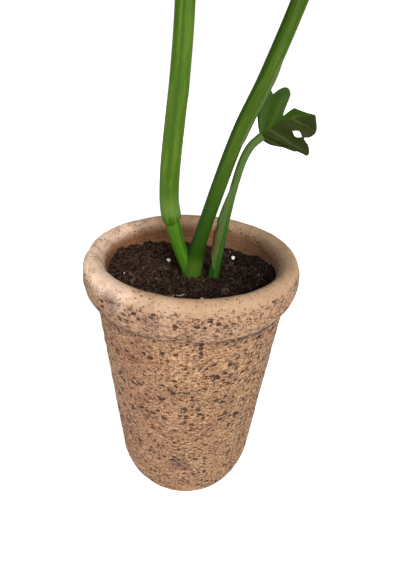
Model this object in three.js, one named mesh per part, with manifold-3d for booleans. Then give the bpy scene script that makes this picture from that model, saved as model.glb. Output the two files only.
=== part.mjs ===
// A monstera in a hand-thrown clay pot, in millimetres, +Z up.
// The origin is the centre of the pot's foot, on the surface that it stands on.
// +X is to the right and -Y is the front.
import * as THREE from 'three';
import Module from 'manifold-3d';
import { mergeVertices } from 'three/addons/utils/BufferGeometryUtils.js';

const wasm = await Module();
wasm.setup();

// Pot
const potHeight = 226.6;
const bodyTopRadius = 72.6;
const bodyBaseRadius = 62.8;
const wallThickness = 10.5;
const floorThickness = 12;
const rimHeight = 30.5;
const rimOverhang = 7.4;
const rimLipSetback = 1.7;
const footInset = 15;
const footRise = 31.4;
const drainHoleRadius = 5;
const drainHoleCount = 3;
const drainCircleRadius = 21;
const potFacets = 40;

// Soil
const soilDrop = 26;
const soilEdgeRise = 6;
const soilTiltAlong = 4.5;
const soilTiltAcross = 3.5;
const soilLumpHeight = 1.1;
const plantingDepth = 30;

// Stems, by radius
const caneRadius = 5.3;
const nodeRadius = 5.9;
const leftPetioleRadius = 6.6;
const middlePetioleRadius = 5.2;
const rightPetioleRadius = 2.7;
const rightFootSwell = 2.6;
const petioleTopShare = 0.62;
const sheathThickness = 0.8;
const stemSides = 12;

// Leaves
const leafThickness = 1;
const leftLeafLength = 225;
const leftLeafHalfWidth = 122;
const middleLeafLength = 200;
const middleLeafHalfWidth = 108;
const youngLeafSize = 1;

// Loose pieces on the soil
const perliteRadius = 1.9;
const barkLength = 9;

// The gap left between neighbouring pieces
const clearance = 0.3;

// ---------- solids ----------

function toSolid(geometry) {
  const bare = geometry.clone();
  bare.deleteAttribute('normal');
  bare.deleteAttribute('uv');
  const merged = mergeVertices(bare, 1e-4);
  const mesh = new wasm.Mesh({
    numProp: 3,
    vertProperties: new Float32Array(merged.attributes.position.array),
    triVerts: new Uint32Array(merged.index.array),
  });
  return new wasm.Manifold(mesh);
}

function toGeometry(solid) {
  const mesh = solid.getMesh();
  const geometry = new THREE.BufferGeometry();
  const positions = new Float32Array(mesh.vertProperties);
  geometry.setAttribute('position', new THREE.BufferAttribute(positions, 3));
  geometry.setIndex(Array.from(mesh.triVerts));
  return geometry;
}

function geometryFrom(points, triangles) {
  const geometry = new THREE.BufferGeometry();
  geometry.setFromPoints(points);
  geometry.setIndex(triangles.flat());
  return geometry;
}

// ---------- thin sheets: leaves and sheaths ----------

// Points at the same place become one, so that neighbouring patches are joined.
function mergeSheet(sheet) {
  const indexOf = new Map();
  const points = [];
  const newIndex = sheet.points.map((point) => {
    const key = point.toArray().map((value) => Math.round(value * 1000)).join();
    if (!indexOf.has(key)) {
      indexOf.set(key, points.length);
      points.push(point);
    }
    return indexOf.get(key);
  });
  const triangles = sheet.triangles
    .map((triangle) => triangle.map((index) => newIndex[index]))
    .filter(([a, b, c]) => a !== b && b !== c && c !== a);
  return { points, triangles };
}

function sheetNormals({ points, triangles }) {
  const normals = points.map(() => new THREE.Vector3());
  for (const [a, b, c] of triangles) {
    const first = points[b].clone().sub(points[a]);
    const second = points[c].clone().sub(points[a]);
    const face = first.cross(second);
    for (const index of [a, b, c]) {
      normals[index].add(face);
    }
  }
  return normals.map((normal) => normal.normalize());
}

// A sheet given thickness: an upper face, a lower face and a wall along every free edge.
function thicken(sheet, thickness) {
  const merged = mergeSheet(sheet);
  const { points, triangles } = merged;
  const normals = sheetNormals(merged);
  const offset = (side) => (point, index) => point.clone().addScaledVector(normals[index], side * thickness);
  const upper = points.map(offset(0.5));
  const lower = points.map(offset(-0.5));
  const under = points.length;
  const faces = [];
  const edges = new Set();
  for (const [a, b, c] of triangles) {
    faces.push([a, b, c], [c + under, b + under, a + under]);
    edges.add(`${a} ${b}`).add(`${b} ${c}`).add(`${c} ${a}`);
  }
  for (const edge of edges) {
    const [a, b] = edge.split(' ').map(Number);
    if (!edges.has(`${b} ${a}`)) {
      faces.push([b, a, a + under], [b, a + under, b + under]);
    }
  }
  return geometryFrom([...upper, ...lower], faces);
}

// Adds a grid of rows and columns to a sheet; pointAt takes both as shares from 0 to 1.
function addPatch(sheet, rows, columns, flipped, pointAt) {
  const first = sheet.points.length;
  for (let row = 0; row <= rows; row += 1) {
    for (let column = 0; column <= columns; column += 1) {
      sheet.points.push(pointAt(row / rows, column / columns));
    }
  }
  for (let row = 0; row < rows; row += 1) {
    for (let column = 0; column < columns; column += 1) {
      const a = first + row * (columns + 1) + column;
      const b = a + 1;
      const c = a + columns + 1;
      const d = c + 1;
      const pair = flipped ? [[a, c, d], [a, d, b]] : [[a, d, c], [a, b, d]];
      sheet.triangles.push(...pair);
    }
  }
}

// How far an opening pushes its two edges apart at a reach from midrib to margin.
// A hole closes again at its far end; a slit runs out through the margin.
function openingAt(openings, bound, reach) {
  for (const opening of openings) {
    const inside = reach > opening.from + 1e-6 && reach < opening.to - 1e-6;
    if (opening.bound === bound && inside) {
      const share = (reach - opening.from) / (Math.min(opening.to, 1) - opening.from);
      const isHole = opening.to <= 1;
      return opening.width * (isHole ? Math.sin(Math.PI * share) : share ** 0.6);
    }
  }
  return 0;
}

// Half of a blade: lobes side by side around the margin, joined near the midrib.
// surface(around, reach) gives a point: around runs from stalk to tip, reach from midrib to margin.
function addHalfBlade(sheet, half) {
  const lobeCorner = 0.09;
  for (let lobe = 0; lobe + 1 < half.bounds.length; lobe += 1) {
    addPatch(sheet, half.rows, half.columns[lobe], half.flipped, (reach, across) => {
      const start = half.bounds[lobe] + openingAt(half.openings, lobe, reach);
      const end = half.bounds[lobe + 1] - openingAt(half.openings, lobe + 1, reach);
      const around = THREE.MathUtils.lerp(start, end, across);
      const cornerCut = 1 - lobeCorner * reach ** 4 * Math.abs(2 * across - 1) ** 3;
      return half.surface(around, reach * cornerCut);
    });
  }
}

// ---------- stems ----------

// A round stem along a curve, with flat ends; radiusAt takes the share of the length.
function stemGeometry(curve, rings, sides, radiusAt) {
  const frames = curve.computeFrenetFrames(rings, false);
  const points = [];
  const triangles = [];
  for (let ring = 0; ring <= rings; ring += 1) {
    const centre = curve.getPointAt(ring / rings);
    for (let side = 0; side < sides; side += 1) {
      const angle = (2 * Math.PI * side) / sides;
      const point = centre.clone();
      point.addScaledVector(frames.normals[ring], Math.cos(angle) * radiusAt(ring / rings));
      point.addScaledVector(frames.binormals[ring], Math.sin(angle) * radiusAt(ring / rings));
      points.push(point);
    }
  }
  for (let ring = 0; ring < rings; ring += 1) {
    for (let side = 0; side < sides; side += 1) {
      const next = (side + 1) % sides;
      const a = ring * sides + side;
      const b = ring * sides + next;
      triangles.push([a, b, b + sides], [a, b + sides, a + sides]);
    }
  }
  const bottom = points.push(curve.getPointAt(0)) - 1;
  const top = points.push(curve.getPointAt(1)) - 1;
  const lastRing = rings * sides;
  for (let side = 0; side < sides; side += 1) {
    const next = (side + 1) % sides;
    triangles.push([bottom, next, side], [top, lastRing + side, lastRing + next]);
  }
  return geometryFrom(points, triangles);
}

function curveThrough(points) {
  const places = points.map(([x, y, z]) => new THREE.Vector3(x, y, z));
  return new THREE.CatmullRomCurve3(places, false, 'centripetal');
}

// The direction straight out from a stem at a bearing: 0 is right, a quarter turn is front, a half is left.
function bearingOut(tangent, bearing) {
  const right = new THREE.Vector3(0, 1, 0).cross(tangent).normalize();
  const front = right.clone().cross(tangent);
  return right.multiplyScalar(Math.cos(bearing)).addScaledVector(front, Math.sin(bearing));
}

// A sheath wraps part of a stem and its free edge stands away from it.
function sheathGeometry(curve, radiusAt, sheath) {
  const sheet = { points: [], triangles: [] };
  const offStem = clearance + sheathThickness / 2 + 0.2;
  addPatch(sheet, 12, 4, false, (along, across) => {
    const place = THREE.MathUtils.lerp(sheath.from, sheath.to, along);
    const taper = Math.sin(Math.PI * (0.06 + 0.88 * along)) ** 0.5;
    const bearing = THREE.MathUtils.lerp(sheath.rootBearing, sheath.edgeBearing, across * taper);
    const out = radiusAt(place) + offStem + sheath.flare * taper * across ** 2;
    const point = curve.getPointAt(place);
    return point.addScaledVector(bearingOut(curve.getTangentAt(place), bearing), out);
  });
  return thicken(sheet, sheathThickness);
}

// ---------- pot ----------

function ellipseArc(centreX, centreY, halfWidth, halfHeight, fromAngle, toAngle, steps) {
  const points = [];
  for (let step = 0; step <= steps; step += 1) {
    const angle = THREE.MathUtils.degToRad(THREE.MathUtils.lerp(fromAngle, toAngle, step / steps));
    const x = centreX + halfWidth * Math.cos(angle);
    const y = centreY + halfHeight * Math.sin(angle);
    points.push(new THREE.Vector2(x, y));
  }
  return points;
}

const rimOuterRadius = bodyTopRadius + rimOverhang;
const innerTopRadius = bodyTopRadius - wallThickness;
const rimInnerRadius = innerTopRadius + rimLipSetback;
const rimHalfWidth = (rimOuterRadius - rimInnerRadius) / 2;
const rimCentreRadius = rimInnerRadius + rimHalfWidth;
const rimMiddle = potHeight - rimHeight / 2;
const innerBaseRadius = bodyBaseRadius - wallThickness;
const innerFootInset = footInset * 0.8;
const innerFootRise = footRise - floorThickness;

// The inside of the pot from the rim down to the edge of its floor.
function innerProfile() {
  const rimFoot = potHeight - rimHeight * 0.75;
  const centreX = innerBaseRadius - innerFootInset;
  const corner = ellipseArc(centreX, footRise, innerFootInset, innerFootRise, 0, -90, 4);
  return [new THREE.Vector2(innerTopRadius, rimFoot), ...corner];
}

function innerRadiusAt(height) {
  const profile = innerProfile();
  for (let index = 1; index < profile.length; index += 1) {
    const upper = profile[index - 1];
    const lower = profile[index];
    if (height >= lower.y) {
      const share = (height - lower.y) / (upper.y - lower.y);
      return THREE.MathUtils.lerp(lower.x, upper.x, Math.min(share, 1));
    }
  }
  return profile[profile.length - 1].x;
}

function potGeometry() {
  const outerFoot = ellipseArc(bodyBaseRadius - footInset, footRise, footInset, footRise, -90, 0, 5);
  const rim = ellipseArc(rimCentreRadius, rimMiddle, rimHalfWidth, rimHeight / 2, -90, 180, 10);
  const profile = [
    new THREE.Vector2(0, 0),
    ...outerFoot,
    new THREE.Vector2(bodyTopRadius, potHeight - rimHeight * 0.94),
    ...rim.slice(1),
    ...innerProfile(),
    new THREE.Vector2(0, floorThickness),
  ];
  let solid = toSolid(new THREE.LatheGeometry(profile, potFacets).rotateX(Math.PI / 2));
  for (let hole = 0; hole < drainHoleCount; hole += 1) {
    const angle = (2 * Math.PI * hole) / drainHoleCount + Math.PI / 2;
    const bore = new THREE.CylinderGeometry(drainHoleRadius, drainHoleRadius, floorThickness * 3, 16);
    bore.rotateX(Math.PI / 2);
    bore.translate(drainCircleRadius * Math.cos(angle), drainCircleRadius * Math.sin(angle), 0);
    solid = solid.subtract(toSolid(bore));
  }
  return toGeometry(solid);
}

// ---------- soil ----------

const soilLevel = potHeight - soilDrop;

// The soil is low in the middle and rises unevenly to the wall, with small lumps.
function soilHeight(x, y) {
  const edgeShare = Math.min(Math.hypot(x, y) / innerTopRadius, 1);
  const angle = Math.atan2(y, x);
  const tilt = soilTiltAlong * Math.cos(2 * angle) - soilTiltAcross * Math.sin(2 * angle);
  const lumps = Math.sin(x * 0.31 + 1) * Math.cos(y * 0.27) + Math.sin(x * 0.13 - y * 0.19);
  const settled = Math.min(edgeShare * 2, 1);
  return soilLevel + (soilEdgeRise + tilt) * edgeShare ** 3 + soilLumpHeight * lumps * settled;
}

function soilBlock() {
  const rings = 8;
  const points = [];
  const triangles = [];
  const wall = innerProfile().slice(1);
  const ringCount = rings + wall.length;
  for (let ring = 1; ring <= ringCount; ring += 1) {
    for (let facet = 0; facet < potFacets; facet += 1) {
      const angle = (2 * Math.PI * facet) / potFacets;
      const edgeRadius = innerRadiusAt(soilLevel) - clearance;
      let radius = edgeRadius * Math.min(ring / rings, 1);
      let height = soilHeight(radius * Math.cos(angle), radius * Math.sin(angle));
      if (ring > rings) {
        radius = wall[ring - rings - 1].x - clearance;
        height = wall[ring - rings - 1].y + clearance;
      }
      points.push(new THREE.Vector3(radius * Math.cos(angle), radius * Math.sin(angle), height));
    }
  }
  for (let ring = 0; ring + 1 < ringCount; ring += 1) {
    for (let facet = 0; facet < potFacets; facet += 1) {
      const a = ring * potFacets + facet;
      const b = ring * potFacets + ((facet + 1) % potFacets);
      triangles.push([a, b + potFacets, b], [a, a + potFacets, b + potFacets]);
    }
  }
  const top = points.push(new THREE.Vector3(0, 0, soilHeight(0, 0))) - 1;
  const bottom = points.push(new THREE.Vector3(0, 0, floorThickness + clearance)) - 1;
  const lastRing = (ringCount - 1) * potFacets;
  for (let facet = 0; facet < potFacets; facet += 1) {
    const next = (facet + 1) % potFacets;
    triangles.push([top, facet, next], [bottom, lastRing + next, lastRing + facet]);
  }
  return toSolid(geometryFrom(points, triangles));
}

// ---------- the three stems ----------

const ground = soilLevel;

const caneCurve = curveThrough([
  [0, 3, ground - plantingDepth],
  [-1, 3, ground - 2],
  [-6.4, 1, ground + 15],
  [-11.1, 0, ground + 28.8],
  [-14.6, 0, ground + 42.6],
]);
const leftPetioleCurve = curveThrough([
  [-14.8, 0, ground + 43.2],
  [-18.1, 0, ground + 59.4],
  [-17.8, 0, ground + 79.8],
  [-14.1, 0, ground + 116],
  [-12.2, 0, ground + 132],
  [-9.5, 4, ground + 180],
  [-13, 14, ground + 232],
  [-24, 29, ground + 281],
]);
const middlePetioleCurve = curveThrough([
  [0.6, 2.4, ground - 3],
  [2, 1.5, ground + 11],
  [3.9, 0, ground + 26.2],
  [11.6, 0, ground + 56.4],
  [27.1, 0, ground + 107.6],
  [38.6, 0, ground + 134.4],
  [55, 3, ground + 180],
  [68, 9, ground + 225],
  [78, 17, ground + 265],
]);
const rightPetioleCurve = curveThrough([
  [16.9, 0, ground - plantingDepth * 0.8],
  [17.3, 0, ground + 1.4],
  [20, 0, ground + 26.4],
  [23.4, 0, ground + 52.4],
  [26.9, 0, ground + 74],
  [31, 0, ground + 90.6],
  [34.9, 0, ground + 98.6],
  [39.2, 0, ground + 103],
]);

function caneRadiusAt(share) {
  return THREE.MathUtils.lerp(caneRadius, nodeRadius, share ** 6);
}

function leftPetioleRadiusAt(share) {
  const base = THREE.MathUtils.lerp(nodeRadius, leftPetioleRadius, Math.min(share * 16, 1));
  const slimming = THREE.MathUtils.lerp(1, petioleTopShare, Math.max(share - 0.15, 0) / 0.85);
  return base * slimming;
}

function middlePetioleRadiusAt(share) {
  return middlePetioleRadius * THREE.MathUtils.lerp(1, petioleTopShare + 0.12, share ** 2);
}

// The right petiole's foot is wide, where its sheath still wraps round it.
function rightPetioleRadiusAt(share) {
  return rightPetioleRadius + rightFootSwell * Math.max(1 - share / 0.55, 0);
}

const caneGeometry = stemGeometry(caneCurve, 12, stemSides, caneRadiusAt);
const leftPetioleGeometry = stemGeometry(leftPetioleCurve, 20, stemSides, leftPetioleRadiusAt);
const rightPetioleGeometry = stemGeometry(rightPetioleCurve, 18, 10, rightPetioleRadiusAt);

// A stem grown by the clearance all round and past its lower end, for cutting the piece around it.
function widened(curve, rings, sides, radiusAt) {
  const reach = clearance / Math.cos(Math.PI / sides) + 0.05;
  const sleeve = toSolid(stemGeometry(curve, rings, sides, (share) => radiusAt(share) + reach));
  const foot = curve.getTangentAt(0).multiplyScalar(-reach).toArray();
  return sleeve.add(sleeve.translate(foot));
}

const wideCane = widened(caneCurve, 12, stemSides, caneRadiusAt);

// The middle petiole clasps the cane, so the cane's shape is cut out of its foot.
function middlePetioleSolid() {
  const whole = toSolid(stemGeometry(middlePetioleCurve, 22, stemSides, middlePetioleRadiusAt));
  const bodies = whole.subtract(wideCane).decompose();
  return bodies.reduce((largest, body) => (body.volume() > largest.volume() ? body : largest));
}

function soilGeometry() {
  const sockets = [
    wideCane,
    widened(middlePetioleCurve, 22, stemSides, middlePetioleRadiusAt),
    widened(rightPetioleCurve, 18, 10, rightPetioleRadiusAt),
  ];
  return toGeometry(sockets.reduce((soil, socket) => soil.subtract(socket), soilBlock()));
}

// ---------- grown leaves ----------

// Half of the heart-shaped margin, from the notch at the stalk round to the tip,
// as shares of the blade's length and half width.
const heartMargin = curveThrough([
  [-0.03, 0.03, 0],
  [-0.19, 0.28, 0],
  [-0.2, 0.64, 0],
  [-0.05, 0.92, 0],
  [0.17, 1, 0],
  [0.43, 0.93, 0],
  [0.69, 0.68, 0],
  [0.89, 0.25, 0],
  [1, 0, 0],
]);
const heartBounds = [0, 0.21, 0.37, 0.5, 0.61, 0.71, 0.81, 1];
const heartColumns = [3, 2, 2, 2, 2, 2, 4];
const throughMargin = 2;
const heartOpenings = [
  { bound: 1, from: 0.6, to: throughMargin, width: 0.014 },
  { bound: 2, from: 0.5, to: throughMargin, width: 0.017 },
  { bound: 3, from: 0.4, to: throughMargin, width: 0.017 },
  { bound: 4, from: 0.4, to: throughMargin, width: 0.017 },
  { bound: 5, from: 0.4, to: throughMargin, width: 0.017 },
  { bound: 6, from: 0.6, to: throughMargin, width: 0.015 },
  { bound: 3, from: 0.1, to: 0.3, width: 0.03 },
  { bound: 4, from: 0.1, to: 0.3, width: 0.03 },
];

// The blade before it is placed: x from stalk to tip, y across, z up.
// Side veins leave the midrib, lean back a little and then sweep towards the tip.
function heartSurface(length, halfWidth, side) {
  const veinLean = 0.07;
  const fold = 0.2;
  const sideDroop = 0.34;
  const arch = 0.3;
  return (around, reach) => {
    const footShare = Math.max((around - 0.3) / 0.7, 0) ** 1.15;
    const foot = new THREE.Vector3(length * footShare, 0, 0);
    const margin = heartMargin.getPoint(around).multiply(new THREE.Vector3(length, halfWidth * side, 0));
    const vein = margin.sub(foot);
    const lean = veinLean * 4 * reach * (1 - reach) * vein.length();
    const point = foot.addScaledVector(vein, reach);
    point.x -= lean;
    const across = Math.abs(point.y);
    point.z = fold * across - (sideDroop * across ** 2) / halfWidth - (arch * point.x ** 2) / length;
    return point;
  };
}

// A grown leaf on the end of its petiole. Its pose is in degrees: roll about its midrib,
// then the tip's pitch downwards, then its heading. It sits clear of the petiole's flat end.
function grownLeafGeometry(leaf) {
  const sheet = { points: [], triangles: [] };
  for (const side of [1, -1]) {
    addHalfBlade(sheet, {
      surface: heartSurface(leaf.length, leaf.halfWidth, side),
      bounds: heartBounds,
      openings: heartOpenings,
      rows: 10,
      columns: heartColumns,
      flipped: side > 0,
    });
  }
  const angles = [leaf.roll, leaf.pitch, leaf.heading].map(THREE.MathUtils.degToRad);
  const pose = new THREE.Matrix4().makeRotationFromEuler(new THREE.Euler(...angles, 'ZYX'));
  const upward = new THREE.Vector3(0, 0, 1).transformDirection(pose);
  const stalkSlant = leaf.petiole.getTangentAt(1).cross(upward).length();
  const lift = leaf.petioleEndRadius * stalkSlant + leafThickness + clearance;
  pose.setPosition(leaf.petiole.getPointAt(1).addScaledVector(upward, lift));
  return thicken(sheet, leafThickness).applyMatrix4(pose);
}

// ---------- young leaf ----------

// The young leaf is still half folded along its midrib. Its points are measured from the stalk's end.
const youngMidrib = curveThrough([[0, 0, 0], [9, -1, 7.5], [18, -2, 10.8], [31, -4, 12.6]]);
const youngUpperMargin = curveThrough([
  [-1, 1.5, 3],
  [-3, 4, 15],
  [1, 6, 29],
  [7.5, 6, 24.5],
  [12.5, 6, 27.8],
  [16.5, 5, 25.4],
  [20.5, 2, 17.4],
  [25.5, -1, 14.4],
  [31, -4, 12.6],
]);
const youngLowerMargin = curveThrough([
  [1, -1.5, -1.5],
  [8, -4, -4.2],
  [18, -5, -5.6],
  [25, -5, -7.6],
  [30.5, -5, -9],
  [30.5, -5, -4],
  [30, -5, 1.6],
  [33, -5, 5],
  [31, -4, 12.6],
]);
const youngBounds = [0, 0.375, 0.6875, 1];

function youngSurface(margin) {
  return (around, reach) => {
    const footShare = Math.max((around - 0.2) / 0.8, 0) ** 2;
    const foot = youngMidrib.getPoint(footShare);
    return foot.lerp(margin.getPoint(around), reach).multiplyScalar(youngLeafSize);
  };
}

function youngLeafGeometry() {
  const sheet = { points: [], triangles: [] };
  addHalfBlade(sheet, {
    surface: youngSurface(youngUpperMargin),
    bounds: youngBounds,
    openings: [{ bound: 2, from: 0.3, to: throughMargin, width: 0.04 }],
    rows: 10,
    columns: [3, 3, 3],
    flipped: true,
  });
  addHalfBlade(sheet, {
    surface: youngSurface(youngLowerMargin),
    bounds: youngBounds,
    openings: [
      { bound: 2, from: 0.4, to: 0.8, width: 0.07 },
      { bound: 2, from: 0.9, to: throughMargin, width: 0.01 },
    ],
    rows: 10,
    columns: [3, 3, 3],
    flipped: false,
  });
  const end = rightPetioleCurve.getPointAt(1);
  const gap = clearance + leafThickness / 2 + 1;
  const out = rightPetioleCurve.getTangentAt(1).multiplyScalar(gap);
  return thicken(sheet, leafThickness).translate(end.x + out.x, end.y + out.y, end.z + out.z);
}

// ---------- loose pieces ----------

// A lump with uneven sides, resting just clear of the highest soil under it.
function lumpGeometry(place, halfSizes, turn) {
  const [x, y] = place.map((share) => share * innerTopRadius);
  const lump = mergeVertices(bareSphere());
  const position = lump.attributes.position;
  for (let index = 0; index < position.count; index += 1) {
    const uneven = 1 + 0.16 * Math.sin(index * 2.4 + turn * 5);
    position.setXYZ(
      index,
      position.getX(index) * uneven * halfSizes[0],
      position.getY(index) * uneven * halfSizes[1],
      position.getZ(index) * halfSizes[2],
    );
  }
  lump.rotateZ(turn);
  let highest = 0;
  const reach = Math.max(halfSizes[0], halfSizes[1]) * 1.2;
  for (let step = 0; step < 12; step += 1) {
    const angle = (Math.PI * step) / 6;
    highest = Math.max(highest, soilHeight(x + reach * Math.cos(angle), y + reach * Math.sin(angle)));
  }
  return lump.translate(x, y, highest + clearance * 2 + halfSizes[2]);
}

function bareSphere() {
  const sphere = new THREE.IcosahedronGeometry(1, 1);
  sphere.deleteAttribute('normal');
  sphere.deleteAttribute('uv');
  return sphere;
}

// ---------- the plant ----------

const plant = new THREE.Group();

function addPiece(name, geometry, color, roughness) {
  const material = new THREE.MeshStandardMaterial({ color, roughness, metalness: 0 });
  const mesh = new THREE.Mesh(geometry, material);
  mesh.name = name;
  plant.add(mesh);
}

addPiece('pot', potGeometry(), 0xc08a62, 0.85);
addPiece('soil', soilGeometry(), 0x2a1c14, 0.95);
addPiece('cane', caneGeometry, 0x3f7d24, 0.5);
addPiece('left_petiole', leftPetioleGeometry, 0x5c9030, 0.45);
addPiece('middle_petiole', toGeometry(middlePetioleSolid()), 0x4a7d26, 0.45);
addPiece('right_petiole', rightPetioleGeometry, 0x355f25, 0.45);
addPiece('left_leaf', grownLeafGeometry({
  length: leftLeafLength,
  halfWidth: leftLeafHalfWidth,
  petiole: leftPetioleCurve,
  petioleEndRadius: leftPetioleRadiusAt(1),
  roll: -15,
  pitch: 28,
  heading: 190,
}), 0x2c5a1e, 0.35);
addPiece('middle_leaf', grownLeafGeometry({
  length: middleLeafLength,
  halfWidth: middleLeafHalfWidth,
  petiole: middlePetioleCurve,
  petioleEndRadius: middlePetioleRadiusAt(1),
  roll: 15,
  pitch: 30,
  heading: 6,
}), 0x33651f, 0.35);
addPiece('young_leaf', youngLeafGeometry(), 0x3f6a1e, 0.4);

addPiece('middle_sheath', sheathGeometry(middlePetioleCurve, middlePetioleRadiusAt, {
  from: 0.38,
  to: 0.56,
  rootBearing: 1.2,
  edgeBearing: -0.2,
  flare: 1.4,
}), 0x6f8550, 0.6);
addPiece('right_sheath', sheathGeometry(rightPetioleCurve, rightPetioleRadiusAt, {
  from: 0.2,
  to: 0.76,
  rootBearing: 1.5,
  edgeBearing: 3.1,
  flare: 1.6,
}), 0x8fa366, 0.65);

// Places on the soil, as shares of the pot's inner radius.
const perlitePlaces = [[-0.32, 0.37], [0.56, 0.56], [-0.61, 0.13], [-0.48, -0.39], [0.13, -0.55], [0.61, -0.19]];
perlitePlaces.forEach((place, index) => {
  const size = perliteRadius * (1 + 0.2 * Math.sin(index * 2));
  addPiece(`perlite_${index + 1}`, lumpGeometry(place, [size, size * 0.8, size * 0.7], index), 0xe6e2d8, 0.9);
});

const barkPlaces = [[-0.23, -0.48], [0.39, -0.42], [-0.71, -0.19], [0.55, 0.35]];
barkPlaces.forEach((place, index) => {
  const halfSizes = [barkLength / 2, barkLength / 5, 1.2];
  addPiece(`bark_chip_${index + 1}`, lumpGeometry(place, halfSizes, index * 0.9), 0x4a3222, 0.9);
});

export default plant;
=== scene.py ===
import math

import bpy
import numpy as np
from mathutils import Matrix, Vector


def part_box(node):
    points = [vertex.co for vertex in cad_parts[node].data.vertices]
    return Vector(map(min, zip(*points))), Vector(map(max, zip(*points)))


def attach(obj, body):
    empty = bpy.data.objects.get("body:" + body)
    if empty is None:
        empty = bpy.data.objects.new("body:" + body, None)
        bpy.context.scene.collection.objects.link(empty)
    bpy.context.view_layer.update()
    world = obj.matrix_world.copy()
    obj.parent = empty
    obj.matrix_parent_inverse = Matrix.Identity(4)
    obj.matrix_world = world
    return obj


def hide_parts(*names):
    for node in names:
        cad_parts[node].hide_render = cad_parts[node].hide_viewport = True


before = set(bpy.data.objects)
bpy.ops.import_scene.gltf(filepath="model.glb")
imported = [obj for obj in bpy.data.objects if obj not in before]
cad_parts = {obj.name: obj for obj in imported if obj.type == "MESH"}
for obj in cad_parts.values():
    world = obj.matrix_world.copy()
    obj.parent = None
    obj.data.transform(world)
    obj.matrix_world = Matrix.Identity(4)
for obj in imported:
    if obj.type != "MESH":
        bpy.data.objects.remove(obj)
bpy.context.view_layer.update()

# ---------------------------------------------------------------- studio
# A pale flat floor that glows far from the plant, so that it meets the bright air without a line,
# a soft key light in front and to the right, a weak fill at the front left, and a camera close by.
camera_data = bpy.data.cameras.new("studio_camera")
camera_data.lens = 22.105
camera_data.sensor_width = 36.0
camera_data.clip_start = 0.01
camera = bpy.data.objects.new("studio_camera", camera_data)
camera.location = (0.0, -0.23917, 0.3345)
camera.rotation_euler = [math.radians(angle) for angle in (59.56, -2.557, -0.111)]
bpy.context.scene.collection.objects.link(camera)
bpy.context.scene.camera = camera
bpy.context.scene.view_settings.view_transform = "Standard"

studio_world = bpy.data.worlds.new("studio_air")
studio_world.use_nodes = True
world_nodes, world_links = studio_world.node_tree.nodes, studio_world.node_tree.links
direction = world_nodes.new("ShaderNodeSeparateXYZ")
world_links.new(world_nodes.new("ShaderNodeTexCoord").outputs["Generated"], direction.inputs[0])
dim_above = world_nodes.new("ShaderNodeMapRange")
for socket, value in (("From Min", 0.2), ("From Max", 0.5), ("To Min", 1.1), ("To Max", 0.55)):
    dim_above.inputs[socket].default_value = value
world_links.new(direction.outputs[2], dim_above.inputs["Value"])
world_links.new(dim_above.outputs[0], world_nodes["Background"].inputs["Strength"])
world_nodes["Background"].inputs["Color"].default_value = (1.0, 0.99, 0.97, 1.0)
bpy.context.scene.world = studio_world


def add_softbox(name, place, aim, size, power, colour):
    """A square area light at a place, turned to face the aim point."""
    light = bpy.data.lights.new(name, "AREA")
    light.size = size
    light.energy = power
    light.color = colour
    lamp = bpy.data.objects.new(name, light)
    facing = np.array(aim) - np.array(place)
    pitch = math.atan2(math.hypot(facing[0], facing[1]), -facing[2])
    lamp.location = place
    lamp.rotation_euler = (pitch, 0.0, math.atan2(-facing[0], facing[1]))
    bpy.context.scene.collection.objects.link(lamp)


add_softbox("key_softbox", (0.55, -1.40, 1.05), (0.0, 0.0, 0.15), 0.8, 50.0, (1.0, 0.98, 0.96))
add_softbox("fill_softbox", (-1.4, -0.9, 0.8), (0.0, 0.0, 0.15), 1.2, 12.0, (0.96, 0.98, 1.0))

floor_paint = bpy.data.materials.new("studio_floor")
floor_paint.use_nodes = True
floor_shader = floor_paint.node_tree.nodes["Principled BSDF"]
floor_shader.inputs["Base Color"].default_value = (0.9, 0.9, 0.9, 1.0)
floor_shader.inputs["Roughness"].default_value = 0.9
floor_nodes, floor_links = floor_paint.node_tree.nodes, floor_paint.node_tree.links
from_plant = floor_nodes.new("ShaderNodeVectorMath")
from_plant.operation = "LENGTH"
floor_links.new(floor_nodes.new("ShaderNodeTexCoord").outputs["Object"], from_plant.inputs[0])
far_glow = floor_nodes.new("ShaderNodeMapRange")
for socket, value in (("From Min", 0.7), ("From Max", 1.8), ("To Min", 0.3), ("To Max", 1.0)):
    far_glow.inputs[socket].default_value = value
floor_links.new(from_plant.outputs["Value"], far_glow.inputs["Value"])
floor_links.new(far_glow.outputs[0], floor_shader.inputs["Emission Strength"])
floor_shader.inputs["Emission Color"].default_value = (1.0, 1.0, 1.0, 1.0)
floor_mesh = bpy.data.meshes.new("studio_floor")
floor_corners = np.array([(-1, -1, 0), (1, -1, 0), (1, 1, 0), (-1, 1, 0)]) * 8.0
floor_mesh.from_pydata(floor_corners.tolist(), [], [(0, 1, 2, 3)])
floor_mesh.materials.append(floor_paint)
floor = bpy.data.objects.new("studio_floor", floor_mesh)
bpy.context.scene.collection.objects.link(floor)

# ---------------------------------------------------------------- pot
# A tall hand-thrown pot of unglazed clay with a heavy rolled rim and three drain holes in its foot.
# It is a profile turned about the pot's axis, with the thrower's wobble and ridges, and the clay
# is speckled with dark grit that the turning dragged sideways.
def triangles_of(grid):
    """The corners of two triangles for each cell of a grid."""
    a, b, c, d = grid[:-1, :-1], grid[:-1, 1:], grid[1:, 1:], grid[1:, :-1]
    return np.stack([a, b, c, a, c, d], axis=2).reshape(-1, 3, grid.shape[-1])


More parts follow.
